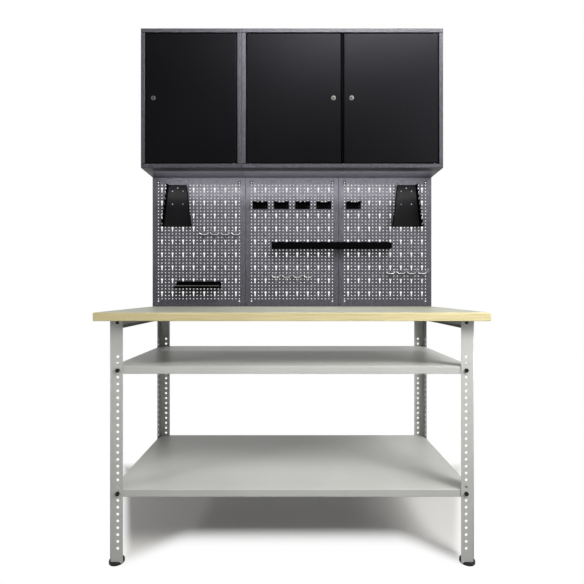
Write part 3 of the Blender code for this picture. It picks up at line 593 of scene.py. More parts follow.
def pattern(material, kind, scale, stretch=(1, 1, 1), **settings):
    """Socket of a texture in the piece's own space, drawn out along its axes."""
    nodes = material.node_tree.nodes
    links = material.node_tree.links
    place = nodes.new("ShaderNodeTexCoord")
    mapping = nodes.new("ShaderNodeMapping")
    mapping.inputs["Scale"].default_value = stretch
    texture = nodes.new(kind)
    texture.inputs["Scale"].default_value = scale
    for key, value in settings.items():
        texture.inputs[key].default_value = value
    links.new(place.outputs["Object"], mapping.inputs["Vector"])
    links.new(mapping.outputs["Vector"], texture.inputs["Vector"])
    return texture.outputs[0]


def ramp(material, source, *stops):
    """Colours over a texture's value, as (place, colour) stops."""
    node = material.node_tree.nodes.new("ShaderNodeValToRGB")
    material.node_tree.links.new(source, node.inputs["Fac"])
    elements = node.color_ramp.elements
    while len(elements) < len(stops):
        elements.new(0.5)
    for element, (position, colour) in zip(elements, stops):
        element.position = position
        element.color = (*colour, 1)
    return node.outputs["Color"]


def paint(material, socket, source):
    shader = material.node_tree.nodes["Principled BSDF"]
    material.node_tree.links.new(source, shader.inputs[socket])


def paint_product(material, first, second):
    """Base colour of one socket darkened by another."""
    node = material.node_tree.nodes.new("ShaderNodeMix")
    node.data_type = "RGBA"
    node.blend_type = "MULTIPLY"
    node.inputs["Factor"].default_value = 1.0
    material.node_tree.links.new(first, node.inputs["A"])
    material.node_tree.links.new(second, node.inputs["B"])
    paint(material, "Base Color", node.outputs["Result"])


def vary_gloss(material, source, low, high):
    """Roughness between two levels over a texture's value."""
    paint(material, "Roughness", ramp(material, source, (0, (low,) * 3), (1, (high,) * 3)))


def relief(material, source, strength, distance):
    bump = material.node_tree.nodes.new("ShaderNodeBump")
    bump.inputs["Strength"].default_value = strength
    bump.inputs["Distance"].default_value = distance
    material.node_tree.links.new(source, bump.inputs["Height"])
    paint(material, "Normal", bump.outputs["Normal"])


def hammered_paint(name, lightness):
    """Dark grey hammer finish: shallow dimples with bright flake between them."""
    material = new_material(name, 0.4, metallic=0.05, specular=0.12)
    cells = pattern(material, CELLS, 230, Randomness=1.0)
    clouds = pattern(material, NOISE, 55, Detail=4.0, Roughness=0.65)
    tone = ramp(material, cells, (0.0, (0.036, 0.035, 0.042)), (0.75, (0.08, 0.0785, 0.092)))
    soft = ramp(material, clouds, (0.3, (0.72 * lightness,) * 3), (0.7, (1.15 * lightness,) * 3))
    paint_product(material, tone, soft)
    vary_gloss(material, cells, 0.3, 0.52)
    relief(material, cells, 0.35, 0.5 * MM)
    return material


def powder_coat(
    name, specular, tones, gloss, grain, clouds=None, detail=2.0, bump=(0.12, 0.15 * MM), tint=(1, 1, 1)
):
    """Coat whose gloss and relief follow a fine grain, and its tone wide clouds or that grain."""
    material = new_material(name, sum(gloss) / 2, specular=specular)
    shader = material.node_tree.nodes["Principled BSDF"]
    shader.inputs["Specular Tint"].default_value = (*tint, 1)
    fine = pattern(material, NOISE, grain, Detail=detail)
    wide = pattern(material, NOISE, clouds, Detail=3.0) if clouds else fine
    paint(material, "Base Color", ramp(material, wide, (0.3, tones[0]), (0.7, tones[1])))
    vary_gloss(material, fine, *gloss)
    relief(material, fine, *bump)
    return material


def wood_edge():
    """Light edge band with fine grain along the board."""
    material = new_material("worktop_edge", 0.5, specular=0.3)
    grain = pattern(material, NOISE, 1, stretch=(7, 7, 420), Detail=6.0, Roughness=0.6)
    patches = pattern(material, NOISE, 1, stretch=(2.2, 2.2, 40), Detail=3.0)
    tone = ramp(
        material,
        grain,
        (0.32, (0.52, 0.435, 0.215)),
        (0.5, (0.62, 0.54, 0.3)),
        (0.68, (0.67, 0.6, 0.355)),
    )
    soft = ramp(material, patches, (0.35, (0.9, 0.89, 0.86)), (0.65, (1.04, 1.04, 1.04)))
    paint_product(material, tone, soft)
    vary_gloss(material, grain, 0.55, 0.42)
    relief(material, grain, 0.08, 0.15 * MM)
    return material


def laminate():
    """Grey worktop laminate with a fine fleck and drawn-out streaks."""
    material = new_material("worktop_laminate", 0.45, specular=0.35)
    streaks = pattern(material, NOISE, 1, stretch=(3, 30, 1), Detail=5.0, Roughness=0.6)
    fleck = pattern(material, NOISE, 320, Detail=3.0, Roughness=0.7)
    tone = ramp(material, streaks, (0.3, (0.218, 0.218, 0.16)), (0.6, (0.27, 0.27, 0.222)))
    soft = ramp(material, fleck, (0.35, (0.9, 0.9, 0.9)), (0.65, (1.06, 1.06, 1.06)))
    paint_product(material, tone, soft)
    relief(material, fleck, 0.05, 0.1 * MM)
    return material


def metal(name, colour, gloss, scale):
    """Bare or plated metal whose gloss varies over it."""
    material = new_material(name, sum(gloss) / 2, metallic=1.0)
    wear = pattern(material, NOISE, scale, Detail=4.0)
    dark = [0.82 * value for value in colour]
    paint(material, "Base Color", ramp(material, wear, (0.3, dark), (0.65, colour)))
    vary_gloss(material, wear, *gloss)
    return material


GREY_TONES = ((0.475, 0.478, 0.452), (0.51, 0.512, 0.488))
DOOR_TONES = ((0.001, 0.001, 0.0013), (0.0018, 0.0018, 0.0022))
DOOR_LOOKS = {"bump": (0.15, 0.15 * MM), "tint": (0.88, 0.87, 1)}
SATIN_TONES = ((0.002, 0.002, 0.0023), (0.005, 0.005, 0.0058))
MATTE_TONES = ((0.0004, 0.0004, 0.0005), (0.0009, 0.0009, 0.001))
PLASTIC_TONES = ((0.004, 0.004, 0.004), (0.008, 0.008, 0.008))

HAMMER = hammered_paint("hammered_panel_paint", 0.94)
# The cases take darker copies of the panels' paint, the single case darkest: painted shade, as the real
# paint is one and the same
SINGLE_CASE_SHADED = hammered_paint("hammered_single_paint_painted_shade", 0.7)
DOUBLE_CASE_SHADED = hammered_paint("hammered_double_paint_painted_shade", 0.84)
BENCH = powder_coat("light_grey_paint", 0.35, GREY_TONES, (0.36, 0.48), 420, 5, bump=(0.12, 0.2 * MM))
DOOR = powder_coat("black_door_paint", 0.045, DOOR_TONES, (0.31, 0.43), 700, 3, **DOOR_LOOKS)
BLACK = powder_coat("black_steel", 0.05, SATIN_TONES, (0.34, 0.5), 500, detail=3.0)
MATTE = powder_coat("matte_black", 0.012, MATTE_TONES, (0.5, 0.68), 450, detail=3.0)
EDGE = wood_edge()
TOP = laminate()
ZINC = metal("zinc_wire", (0.5, 0.5, 0.5), (0.26, 0.42), 180)
# Darker copy of the zinc for the hooks' stems: painted shade
STEM_SHADE_ZINC = metal("zinc_wire_painted_shade", (0.09, 0.09, 0.09), (0.4, 0.6), 180)
NICKEL = metal("lock_nickel", (0.105, 0.102, 0.095), (0.32, 0.46), 400)
PLUG = metal("lock_plug", (0.06, 0.058, 0.055), (0.32, 0.46), 400)
RIVET = metal("rivet_steel", (0.3, 0.3, 0.3), (0.3, 0.45), 400)
OXIDE = metal("black_oxide", (0.022, 0.022, 0.023), (0.35, 0.5), 300)
PLASTIC = powder_coat("black_plastic", 0.25, PLASTIC_TONES, (0.42, 0.6), 600, bump=(0.2, 0.15 * MM))


def two_coats(mesh, first, second, takes_second):
    """Gives a mesh two materials; takes_second says which faces have the second one."""
    mesh.materials.clear()
    mesh.materials.append(first)
    mesh.materials.append(second)
    for face in mesh.polygons:
        face.material_index = 1 if takes_second(face) else 0
    return mesh


def piece(name, mesh, material, nodes=(), location=(0, 0, 0), rotation=(0, 0, 0), body="bench"):
    """Puts a mesh in the scene on a body, in place of the nodes that it stands for."""
    if not mesh.materials:
        mesh.materials.append(material)
    made = put(name, mesh)
    made.location = location
    made.rotation_euler = rotation
    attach(made, body)
    if nodes:
        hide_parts(*nodes)


# Bench

def make_worktop():
    bm = round_edges(block(*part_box("worktop")), WORKTOP_EDGE, EDGE_STEPS)
    for face in bm.faces:
        face.smooth = face.calc_area() < EDGE_AREA
    mesh = finish_mesh(bm, "worktop_board")
    two_coats(mesh, EDGE, TOP, lambda face: abs(face.normal.z) > LEVEL)
    piece("worktop_board", mesh, EDGE, ["worktop"])


def leg_mesh(low, high, heights):
    """Punched angle with its outer corner on the Z axis."""
    far = LEG_FLANGE - LEG_HOLE_LINE
    holes = {
        0: [circle((far, z), LEG_HOLE, LEG_HOLE_SIDES) for z in heights],
        1: [circle((LEG_HOLE_LINE, z), LEG_HOLE, LEG_HOLE_SIDES) for z in heights],
    }
    profile = [(0, LEG_FLANGE), (0, 0), (LEG_FLANGE, 0)]
    return steel(folded(profile, LEG_BEND, low, high, holes), "leg", LEG_SHEET)


def foot_mesh():
    """Round glide with a slot that takes the leg."""
    crown_centre = (FOOT_RADIUS - FOOT_CROWN, FOOT_HEIGHT - FOOT_CROWN)
    crown = arc(crown_centre, FOOT_CROWN, 90, 0, 5)
    base = arc((FOOT_RADIUS - FOOT_BASE, FOOT_BASE), FOOT_BASE, 0, -90, 4)
    disc = turned([(0, FOOT_HEIGHT), *crown, *base, (0, 0)], FOOT_SIDES)
    moved(disc, (FOOT_INSET, FOOT_INSET, 0))
    inner = LEG_SHEET + TOUCH
    far = LEG_FLANGE + TOUCH
    near = -TOUCH
    angle = [(near, near), (far, near), (far, inner), (inner, inner), (inner, far), (near, far)]
    slot = moved(extruded(angle, FOOT_HEIGHT), (0, 0, FOOT_FLOOR))
    return shade(cut(disc, "glide", slot))


def bolt(grip, turn, head_radius):
    """Hexagon bolt and nut along +Z; its head lies below 0 and its nut above the grip."""
    hexagon = circle((0, 0), head_radius, 6)
    joined = moved(round_edges(extruded(hexagon, BOLT_HEAD), BOLT_EDGE), (0, 0, -BOLT_HEAD))
    merge(joined, moved(round_edges(extruded(hexagon, NUT_HEIGHT), BOLT_EDGE), (0, 0, grip)))
    end = grip + NUT_HEIGHT + BOLT_END
    shank = [(0, end), (BOLT_SHANK, end - BOLT_CHAMFER), (BOLT_SHANK, -BOLT_ROOT), (0, -BOLT_ROOT)]
    merge(joined, turned(shank))
    joined.transform(turn)
    return joined


def bolts_mesh(heights):
    """Bolts of one leg, from its outer corner: shelves and the channel under the worktop."""
    joined = bmesh.new()
    grip = LEG_SHEET + BOLTED_SHEET
    for row in SHELF_BOLTS:
        z = heights[row + 1]
        for turn, x, y in ((TO_REAR, LEG_HOLE_LINE, 0), (TO_INSIDE, 0, LEG_HOLE_LINE)):
            merge(joined, bolt(grip, Matrix.Translation((x, y, z)) @ turn, BOLT_RADIUS))
    place = Matrix.Translation((LEG_HOLE_LINE, 0, heights[0]))
    merge(joined, bolt(grip, place @ TO_REAR, TOP_BOLT_RADIUS))
    return shade(finish_mesh(joined, "bolts"))


def make_legs():
    """Four legs with their feet and bolts, each a mirror image of the front left one."""
    low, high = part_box("leg_front_left")
    rows = [high.z - LEG_FIRST_HOLE - i * LEG_HOLE_PITCH for i in range(LEG_HOLES)]
    heights = [high.z - LEG_TOP_HOLE, *rows]
    leg = leg_mesh(low.z, high.z, heights)
    foot = foot_mesh()
    bolts = bolts_mesh(heights)
    for end in ("front", "rear"):
        for side in ("left", "right"):
            place = f"{end}_{side}"
            low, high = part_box(f"leg_{place}")
            x = low.x if side == "left" else high.x
            y = low.y if end == "front" else high.y
            corner = (x, y, 0)
            flips = (side == "right", end == "rear")
            angle = mirrored(leg, *flips)
            piece(f"angle_{place}", angle, BENCH, [f"leg_{place}"], corner)
            glide = mirrored(foot, *flips)
            piece(f"glide_{place}", glide, PLASTIC, [f"foot_{place}"], corner)
            piece(f"bolts_{place}", mirrored(bolts, *flips), OXIDE, (), corner)


def make_channels():
    """Channels that carry the worktop, open towards the middle of the bench."""
    for side, sign in (("left", 1), ("right", -1)):
        low, high, size, _ = measure(f"top_rail_{side}")
        profile = [(size.x, 0), (0, 0), (0, -size.z), (size.x, -size.z)]
        spots = [low.y + share * size.y for share in CHANNEL_SHARES]
        holes = {1: [circle((size.z / 2, y), CHANNEL_HOLE) for y in spots]}
        bm = folded(profile, CHANNEL_BEND, low.y, high.y, holes)
        outer = low.x if side == "left" else high.x
        turn = Matrix(((sign, 0, 0, outer), (0, 0, 1, 0), (0, 1, 0, high.z), (0, 0, 0, 1)))
        bm.transform(turn)
        if turn.determinant() < 0:
            bmesh.ops.reverse_faces(bm, faces=bm.faces)
        mesh = steel(bm, "rail", CHANNEL_SHEET)
        piece(f"channel_{side}", mesh, BENCH, [f"top_rail_{side}"])


def make_shelves():
    for name in ("shelf_middle", "shelf_lower"):
        _, high, size, middle = measure(name)
        path = [(0, 0), (0, size.z), (SHELF_RETURN, size.z)]
        bm = pan(size.x, size.y, path, SHELF_BEND, SHELF_CORNER)
        location = (middle.x, middle.y, high.z)
        mesh = steel(bm, name, SHELF_SHEET)
        piece(f"{name}_pan", mesh, BENCH, [name], location, LAID_FLAT)


# Tool wall

def grid(column, row):
    """Place of a hole from the middle of its panel."""
    x = (column - (GRID_COLUMNS - 1) / 2) * PITCH_X
    return x, ((GRID_ROWS - 1) / 2 - row) * PITCH_Z


def keyhole(column, row):
    """Outline of a round head over a slot, in place of two peg holes."""
    x, z = grid(column, row + 0.5)
    end = KEY_LENGTH / 2
    neck = math.degrees(math.asin(KEY_SLOT / KEY_HEAD))
    head = arc((x, z + end - KEY_HEAD), KEY_HEAD, neck - 90, 270 - neck, 15)
    tail = arc((x, z - end + KEY_SLOT), KEY_SLOT, 180, 360, 7)
    return head + tail


def panel_mesh(size):
    keyed = {(c, r + i) for c in KEY_COLUMNS for r in KEY_ROWS for i in (0, 1)}
    spots = [(c, r) for c in range(GRID_COLUMNS) for r in range(GRID_ROWS)]
    holes = [circle(grid(*spot), PEG_HOLE, PEG_HOLE_SIDES) for spot in spots if spot not in keyed]
    holes += [keyhole(c, r) for c in KEY_COLUMNS for r in KEY_ROWS]
    corners = [grid(c, r) for c in (0, GRID_COLUMNS - 1) for r in CORNER_ROWS]
    holes += [circle(spot, CORNER_HOLE) for spot in corners]
    bm = pan(size.x, size.z, [(0, 0), (0, size.y)], PANEL_BEND, PANEL_CORNER, holes)
    return steel(bm, "panel", PANEL_SHEET)


def eyelets_mesh():
    """Raised rims round a panel's two upper corner holes."""
    inner = [(CORNER_HOLE, 0), (CORNER_HOLE, EYELET_HEIGHT)]
    outer = [(EYELET_FACE, EYELET_HEIGHT), (EYELET_RADIUS, 0)]
    rims = bmesh.new()
    for column in (0, GRID_COLUMNS - 1):
        x, z = grid(column, CORNER_ROWS[0])
        ring = turned([*inner, *outer, inner[0]], EYELET_SIDES)
        ring.transform(Matrix.Translation((x, 0, z)) @ TO_FRONT)
        merge(rims, ring)
    return shade(finish_mesh(rims, "rims"))


def make_panels():
    sheet = panel_mesh(measure("panel_left")[2])
    for name in ("left", "middle", "right"):
        low, _, _, middle = measure(f"panel_{name}")
        centre = (middle.x, low.y, middle.z)
        nodes = [f"panel_{name}"]
        piece(f"perforated_{name}", sheet, HAMMER, nodes, centre)
        piece(f"eyelets_{name}", eyelets_mesh(), MATTE, (), centre)


def rivets(spots, size):
    """Domed rivet heads, as (radius, height), that stand towards the front."""
    radius, height = size
    crown = [(radius * math.sin(a), height * math.cos(a)) for a in DOME_TURNS]
    joined = bmesh.new()
    for spot in spots:
        dome = turned([(0, height), *crown, (0, 0)])
        dome.transform(Matrix.Translation(spot) @ TO_FRONT)
        merge(joined, dome)
    return shade(finish_mesh(joined, "rivets"), RIVET_SHARP_ANGLE)


def rack_side(height):
    """Corners of a rack's right side, which leans out a little, round from the top of its fold."""
    def corner(share, forward):
        half = RACK_HALF[0] + share * (RACK_HALF[1] - RACK_HALF[0])
        depth = RACK_DEPTH[0] + share * (RACK_DEPTH[1] - RACK_DEPTH[0])
        return half + forward * RACK_SPLAY, -forward * depth, (share - 0.5) * height

    pitch = (1 - 2 * RACK_END) / RACK_SLOTS
    teeth = [corner(0, 1)]
    for i in range(RACK_SLOTS):
        teeth.append(corner(RACK_END + i * pitch, 1))
        teeth.append(corner(RACK_END + (i + RACK_SLOT_ROOT) * pitch, 1 - RACK_SLOT_SHARE))
    teeth += [corner(1 - RACK_END, 1), corner(1, 1)]
    return [corner(1, 0), corner(0, 0), *teeth]


def rack_mesh(height):
    """Tapered plate with a slotted side folded forward along each slanting edge; the sides take a darker
    black as painted shade.
    """
    half_low, half_high = RACK_HALF
    up = height / 2
    bm = filled([(-half_low, -up), (half_low, -up), (half_high, up), (-half_high, up)])
    bm.transform(TO_FRONT)
    for sign in (-1, 1):
        corners = [bm.verts.new((sign * x, y, z)) for x, y, z in rack_side(height)]
        side = bm.faces.new(corners)
        side.normal_update()
        if side.normal.x * sign > 0:
            side.normal_flip()
    weld(bm)
    mesh = soft_steel(bm, "rack", RACK_SHEET, SOFT_EDGE, offset=1)
    # Sideways faces take matte black, darker than the plate: painted shade
    two_coats(mesh, BLACK, MATTE, lambda face: abs(face.normal.x) > SHADED_SIDE_FACING)
    return shade(mesh, RACK_SHARP_ANGLE)


def make_racks():
    for side in ("left", "right"):
        node = f"wrench_rack_{side}"
        _, high, size, middle = measure(node)
        place = (middle.x, high.y, middle.z)
        piece(f"spanner_{node}", rack_mesh(size.z), BLACK, [node], place)
        face = high.y - RACK_SHEET
        aside = (-RACK_RIVET_ASIDE, RACK_RIVET_ASIDE)
        spots = [(middle.x + x, face, middle.z + z) for x in aside for z in RACK_RIVET_HEIGHTS]
        spots.append((middle.x, face, high.z - RACK_TOP_RIVET))
        piece(f"rack_rivets_{side}", rivets(spots, RACK_RIVET), RIVET)


def make_holders():
    for number, slots in enumerate(HOLDER_SLOTS, start=1):
        node = f"tool_holder_{number}"
        _, high, size, middle = measure(node)
        far = [(HOLDER_DEPTH, -HOLDER_HALF)]
        for left, right in slots:
            far += [(HOLDER_DEPTH, left), (HOLDER_ROOT, left)]
            far += [(HOLDER_ROOT, right), (HOLDER_DEPTH, right)]
        far.append((HOLDER_DEPTH, HOLDER_HALF))
        profile = [(0, -size.z), (0, 0), (-HOLDER_DEPTH, 0)]
        bm = folded(profile, HOLDER_BEND, -HOLDER_HALF, HOLDER_HALF, ends={1: far})
        upright(bm, (middle.x, high.y, high.z))
        mesh = shade(soft_steel(bm, node, HOLDER_SHEET, HOLDER_EDGE), HOLDER_SHARP_ANGLE)
        piece(f"bracket_{number}", mesh, MATTE, [node])
        face = high.y - HOLDER_SHEET
        aside = (-HOLDER_RIVET_ASIDE, HOLDER_RIVET_ASIDE)
        spots = [(middle.x + x, face, high.z - HOLDER_RIVET_DROP) for x in aside]
        piece(f"bracket_rivets_{number}", rivets(spots, HOLDER_RIVET), OXIDE)


def make_troughs():
    """Tool rails and the tray: channels with a lower front lip; the tray's lip is hemmed and has a
    nickel strip as a painted highlight.
    """
    for node, lip in TROUGH_LIPS.items():
        _, high, size, middle = measure(node)
        top = lip - size.z
        profile = [(-size.y, top), (-size.y, -size.z), (0, -size.z), (0, 0)]
        if node == "tool_tray":
            profile = [(HEM_DEPTH - size.y, top - HEM_DROP), (HEM_DEPTH - size.y, top), *profile]
        bm = folded(profile, TROUGH_BEND, -size.x / 2, size.x / 2)
        upright(bm, (middle.x, high.y, high.z))
        piece(f"{node}_channel", steel(bm, node, TROUGH_SHEET), MATTE, [node])

    # Nickel strip along the top of the tray's lip, a painted highlight
    low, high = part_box("tool_tray")
    edge = low.z + TROUGH_LIPS["tool_tray"]
    start = (low.x, low.y - HIGHLIGHT_HALF, edge - HIGHLIGHT_DROP)
    end = (high.x, low.y + HIGHLIGHT_HALF, edge + HIGHLIGHT_RISE)
    tray_highlight = round_edges(block(start, end), HIGHLIGHT_EDGE)
    piece("tray_painted_highlight", shade(finish_mesh(tray_highlight, "tray_highlight")), NICKEL)


def wire(route, lift):
    """Round wire along a flat route with rounded bends; lift turns a point of the route into a place."""
    _, arcs = rounded_path(route, HOOK_BEND)
    points = [route[0], *(point for bend in arcs for point in bend), route[-1]]
    line = [lift(across, up) for across, up in points]
    settings = {"bevel_depth": HOOK_WIRE, "bevel_resolution": 3, "use_fill_caps": True}
    bm = from_curve([line], False, dimensions="3D", **settings)
    face_out(bm)
    return round_edges(bm, HOOK_END_EDGE, angle=HOOK_END_ANGLE)


# Faces of the stem below the bar, which take the darker zinc as painted shade
def on_shaded_stem(face):
    x, _, z = face.center
    return abs(x) < HOOK_SHADE_HALF and z < HOOK_BAR_HEIGHT - HOOK_WIRE


def make_hooks():
    """Wire hooks pinned in keyholes, each with a bar across its stem; the stem takes a darker zinc as
    painted shade.
    """
    route = [(-HOOK_REACH, HOOK_STEM + HOOK_RISE), (HOOK_TIP - HOOK_REACH, HOOK_STEM)]
    route += [(-HOOK_WIRE, HOOK_STEM), (-HOOK_WIRE, 0), (HOOK_PIN, 0)]
    prong = wire(route, lambda along, up: (0, along, up))
    ends = HOOK_BAR_HEIGHT + HOOK_BAR_RISE
    route = [(-HOOK_BAR, ends), (-HOOK_BAR_FLAT, HOOK_BAR_HEIGHT)]
    route += [(HOOK_BAR_FLAT, HOOK_BAR_HEIGHT), (HOOK_BAR, ends)]
    bar = wire(route, lambda across, up: (across, -HOOK_BAR_DEPTH, up))
    mesh = shade(cut(prong, "hook", bar, operation="UNION"), HOOK_SHARP_ANGLE)
    two_coats(mesh, ZINC, STEM_SHADE_ZINC, on_shaded_stem)
    pin_half = HOOK_WIRE * math.cos(math.pi / SOLID_HOOK_SIDES)
    for number in range(1, HOOK_COUNT + 1):
        node = f"wire_hook_{number:02d}"
        low, high, _, middle = measure(node)
        location = (middle.x, high.y - HOOK_PIN, low.z + pin_half)
        piece(f"bent_hook_{number:02d}", mesh, ZINC, [node], location)


# Cabinets

def pivot_of(cabinet, side):
    """Where a door's pins stand, in from the edge that it hangs by."""
    low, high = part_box(f"{cabinet}_door{side}")
    return low.x + PIVOT_INSET if DOORS[cabinet][side] == "left" else high.x - PIVOT_INSET


def frame_seams(half_x, half_z):
    """Cutters for the butt joints of a doorway's frame, whose top and bottom run right across."""
    seams = []
    for up in (-1, 1):
        height = up * (half_z - FRAME_FACE)
        for side in (-1, 1):
            outer = side * (half_x - SEAM_START)
            inner = side * (half_x - FRAME_FACE - SEAM_OVERRUN)
            low = (min(outer, inner), -MM, height - SEAM / 2)
            high = (max(outer, inner), SEAM_DEPTH, height + SEAM / 2)
            seams.append(block(low, high))
    return seams


def pin_bores(places, half_z):
    """Cutters for the holes that the doors' pins stand in, through a doorway's top and bottom folds."""
    reach = half_z - FRAME_FACE / 2
    bores = []
    for x in places:
        bore = turned([(0, reach), (PIN_BORE, reach), (PIN_BORE, -reach), (0, -reach)], PIN_SIDES)
        bore.transform(Matrix.Translation((x, PIVOT_DEPTH, 0)))
        bores.append(bore)
    return bores


def make_case(cabinet, shaded_coat):
    """Wrapped sides, top and bottom; the doorway's fold is matte black, painted shade for the doors'
    gaps.
    """
    name = f"{cabinet}_case"
    low, _, size, middle = measure(f"{cabinet}_carcass")
    half_x = size.x / 2
    half_z = size.z / 2
    path = [(0, size.y), (0, 0), (FRAME_FACE, 0), (FRAME_FACE, FRAME_RETURN)]
    bm = pan(size.x, size.z, path, CASE_BEND, CASE_CORNER, capped=False)
    wrap = opened(steel(bm, name, CASE_SHEET))
    places = [pivot_of(cabinet, side) - middle.x for side in DOORS[cabinet]]
    mesh = cut(wrap, name, *frame_seams(half_x, half_z), *pin_bores(places, half_z))
    reach = FRAME_FACE - GAP_SHADE_MARGIN

    # Faces of the doorway's fold that take matte black: painted shade in the gaps round the doors
    def in_gap_shade(face):
        x, y, z = face.center
        inside = abs(x) < half_x - reach and abs(z) < half_z - reach
        return inside and GAP_SHADE_DEPTHS[0] < y < GAP_SHADE_DEPTHS[1]

    two_coats(mesh, shaded_coat, MATTE, in_gap_shade)
    place = (middle.x, low.y, middle.z)
    piece(name, mesh, shaded_coat, [f"{cabinet}_carcass"], place)


def make_cabinet_pan(name, node, shaded_coat, size, place, turn):
    """Shallow pan of a cabinet, with its size as width, height and depth."""
    width, height, depth = size
    bm = pan(width, height, [(0, 0), (0, depth)], CASE_BEND, CASE_CORNER)
    piece(name, steel(bm, name, CASE_SHEET), shaded_coat, [node], place, turn)


def make_cabinet(cabinet, shaded_coat):
    """Case, back, inner shelf and lugs of one cabinet."""
    make_case(cabinet, shaded_coat)
    node = f"{cabinet}_back"
    _, high, size, middle = measure(node)
    place = (middle.x, high.y, middle.z)
    make_cabinet_pan(f"{cabinet}_rear", node, shaded_coat, size.xzy, place, TURNED_ROUND)
    node = f"{cabinet}_shelf"
    _, high, size, middle = measure(node)
    place = (middle.x, middle.y, high.z)
    make_cabinet_pan(f"{cabinet}_tier", node, shaded_coat, size, place, LAID_FLAT)
    for side in ("left", "right"):
        make_lug(cabinet, side)


def make_lug(cabinet, side):
    """Bent lug with a rounded top and one hole, by which the cabinet hangs."""
    node = f"{cabinet}_lug_{side}"
    low, high, size, middle = measure(node)
    half = size.x / 2
    centre = size.z - LUG_TOP
    crown = [(z, x) for x, z in arc((0, centre), LUG_TOP, *LUG_SHOULDERS, ARC_POINTS)]
    far = [(LUG_BEND, -half), *crown, (LUG_BEND, half)]
    hole = circle((centre, 0), LUG_HOLE, LUG_HOLE_SIDES)
    profile = [(-size.y, 0), (0, 0), (0, size.z)]
    bm = folded(profile, LUG_BEND, -half, half, holes={1: [hole]}, ends={1: far})
    upright(bm, (middle.x, high.y, low.z))
    piece(f"{cabinet}_ear_{side}", steel(bm, node, LUG_SHEET), BLACK, [node])


def make_keepers():
    """Strike angle and centre post, behind which the cams turn."""
    low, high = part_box("single_strike")
    profile = [(high.x, high.y), (low.x, high.y), (low.x, low.y)]
    mesh = steel(folded(profile, STRIKE_BEND, low.z, high.z), "strike", KEEPER_SHEET)
    # The strike takes the single case's darkened paint: painted shade
    piece("strike_angle", mesh, SINGLE_CASE_SHADED, ["single_strike"])

    low, high, _, middle = measure("double_post")
    left = middle.x - POST_HALF_WEB
    right = middle.x + POST_HALF_WEB
    rear = high.y - KEEPER_SHEET
    profile = [(low.x, rear), (left, rear), (left, low.y), (right, low.y), (right, rear), (high.x, rear)]
    mesh = steel(folded(profile, POST_BEND, low.z, high.z), "post", KEEPER_SHEET)
    piece("post_hat", mesh, MATTE, ["double_post"])


def pins_mesh(pivot, middle, height):
    """Stub pins at the top and the bottom of a door of a height, about the middle."""
    pins = bmesh.new()
    for up in (1, -1):
        pin = rod(PIN_RADIUS, PIN_LENGTH, -PIN_ROOT, PIN_CHAMFER, PIN_SIDES)
        if up < 0:
            pin.transform(Matrix.Rotation(math.pi, 4, "X"))
        pin.transform(Matrix.Translation((*pivot, middle + up * height / 2)))
        merge(pins, pin)
    return shade(finish_mesh(pins, "pins"))


def barrel_mesh(place, depth):
    """Lock barrel behind a rounded flange, bored for its plug."""
    ring = [(radius * MM, -back * MM) for radius, back in BARREL_FRONT_MM]
    ring += [(ring[-1][0], -depth), (ring[0][0], -depth), ring[0]]
    bm = turned(ring, BARREL_SIDES)
    bm.transform(Matrix.Translation(place) @ TO_FRONT)
    return shade(finish_mesh(bm, "barrel"))


def plug_mesh(length):
    """Key plug along -Z with its cam across the rear end."""
    plug = rod(PLUG_RADIUS, 0, -length, PLUG_CHAMFER, PLUG_SIDES)
    outline = arc((0, -CAM_REACH), CAM_HALF, 180, 360, ARC_POINTS)
    outline += arc((0, 0), CAM_HALF, 0, 180, ARC_POINTS)
    cam = round_edges(moved(extruded(outline, CAM_SHEET), (0, 0, -length)), SOFT_EDGE)
    solid = opened(cut(plug, "plug", cam, operation="UNION"))
    half_x, half_y = KEYWAY_HALF
    keyway = block((-half_x, -half_y, -KEYWAY_DEPTH), (half_x, half_y, MM))
    return shade(cut(solid, "plug", round_edges(keyway, SOFT_EDGE)))


def make_door(cabinet, side):
    """Door pan with its pivot pins, lock barrel, key plug and cam."""
    node = f"{cabinet}_door{side}"
    body = f"door_{cabinet}{side}"
    low, _, size, middle = measure(node)
    barrel_node = f"{cabinet}_lock_barrel{side}"
    front, _, barrel, lock = measure(barrel_node)
    height = size.z - 2 * PIN_LENGTH
    hole = circle((lock.x - middle.x, 0), LOCK_HOLE, LOCK_HOLE_SIDES)
    path = [(0, 0), (0, DOOR_THICKNESS), (DOOR_LIP, DOOR_THICKNESS)]
    bm = pan(size.x - 2 * DOOR_EASE, height - 2 * DOOR_EASE, path, DOOR_BEND, DOOR_CORNER, [hole])
    mesh = steel(bm, node, DOOR_SHEET)
    piece(f"{node}_pan", mesh, DOOR, [node], (middle.x, low.y, middle.z), body=body)

    pivot = (pivot_of(cabinet, side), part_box(f"{cabinet}_carcass")[0].y + PIVOT_DEPTH)
    piece(f"{node}_pins", pins_mesh(pivot, middle.z, height), ZINC, body=body)

    mesh = barrel_mesh((lock.x, front.y, middle.z), barrel.y)
    piece(f"{node}_barrel", mesh, NICKEL, [barrel_node], body=body)

    cam_node = f"{cabinet}_lock_cam{side}"
    low, _, size, _ = measure(cam_node)
    place = (lock.x, low.y, middle.z)
    mesh = plug_mesh(size.y)
    body = f"cam_{cabinet}{side}"
    piece(f"{cam_node}_plug", mesh, PLUG, [cam_node], place, STOOD_UP, body)


make_worktop()
make_legs()
make_channels()
make_shelves()
make_panels()
make_racks()
make_holders()
make_troughs()
make_hooks()
# Each cabinet is built in its own darkened copy of the paint, as painted shade
make_cabinet("single", SINGLE_CASE_SHADED)
make_cabinet("double", DOUBLE_CASE_SHADED)
make_keepers()
for cabinet, sides in DOORS.items():
    for side in sides:
        make_door(cabinet, side)


# Studio

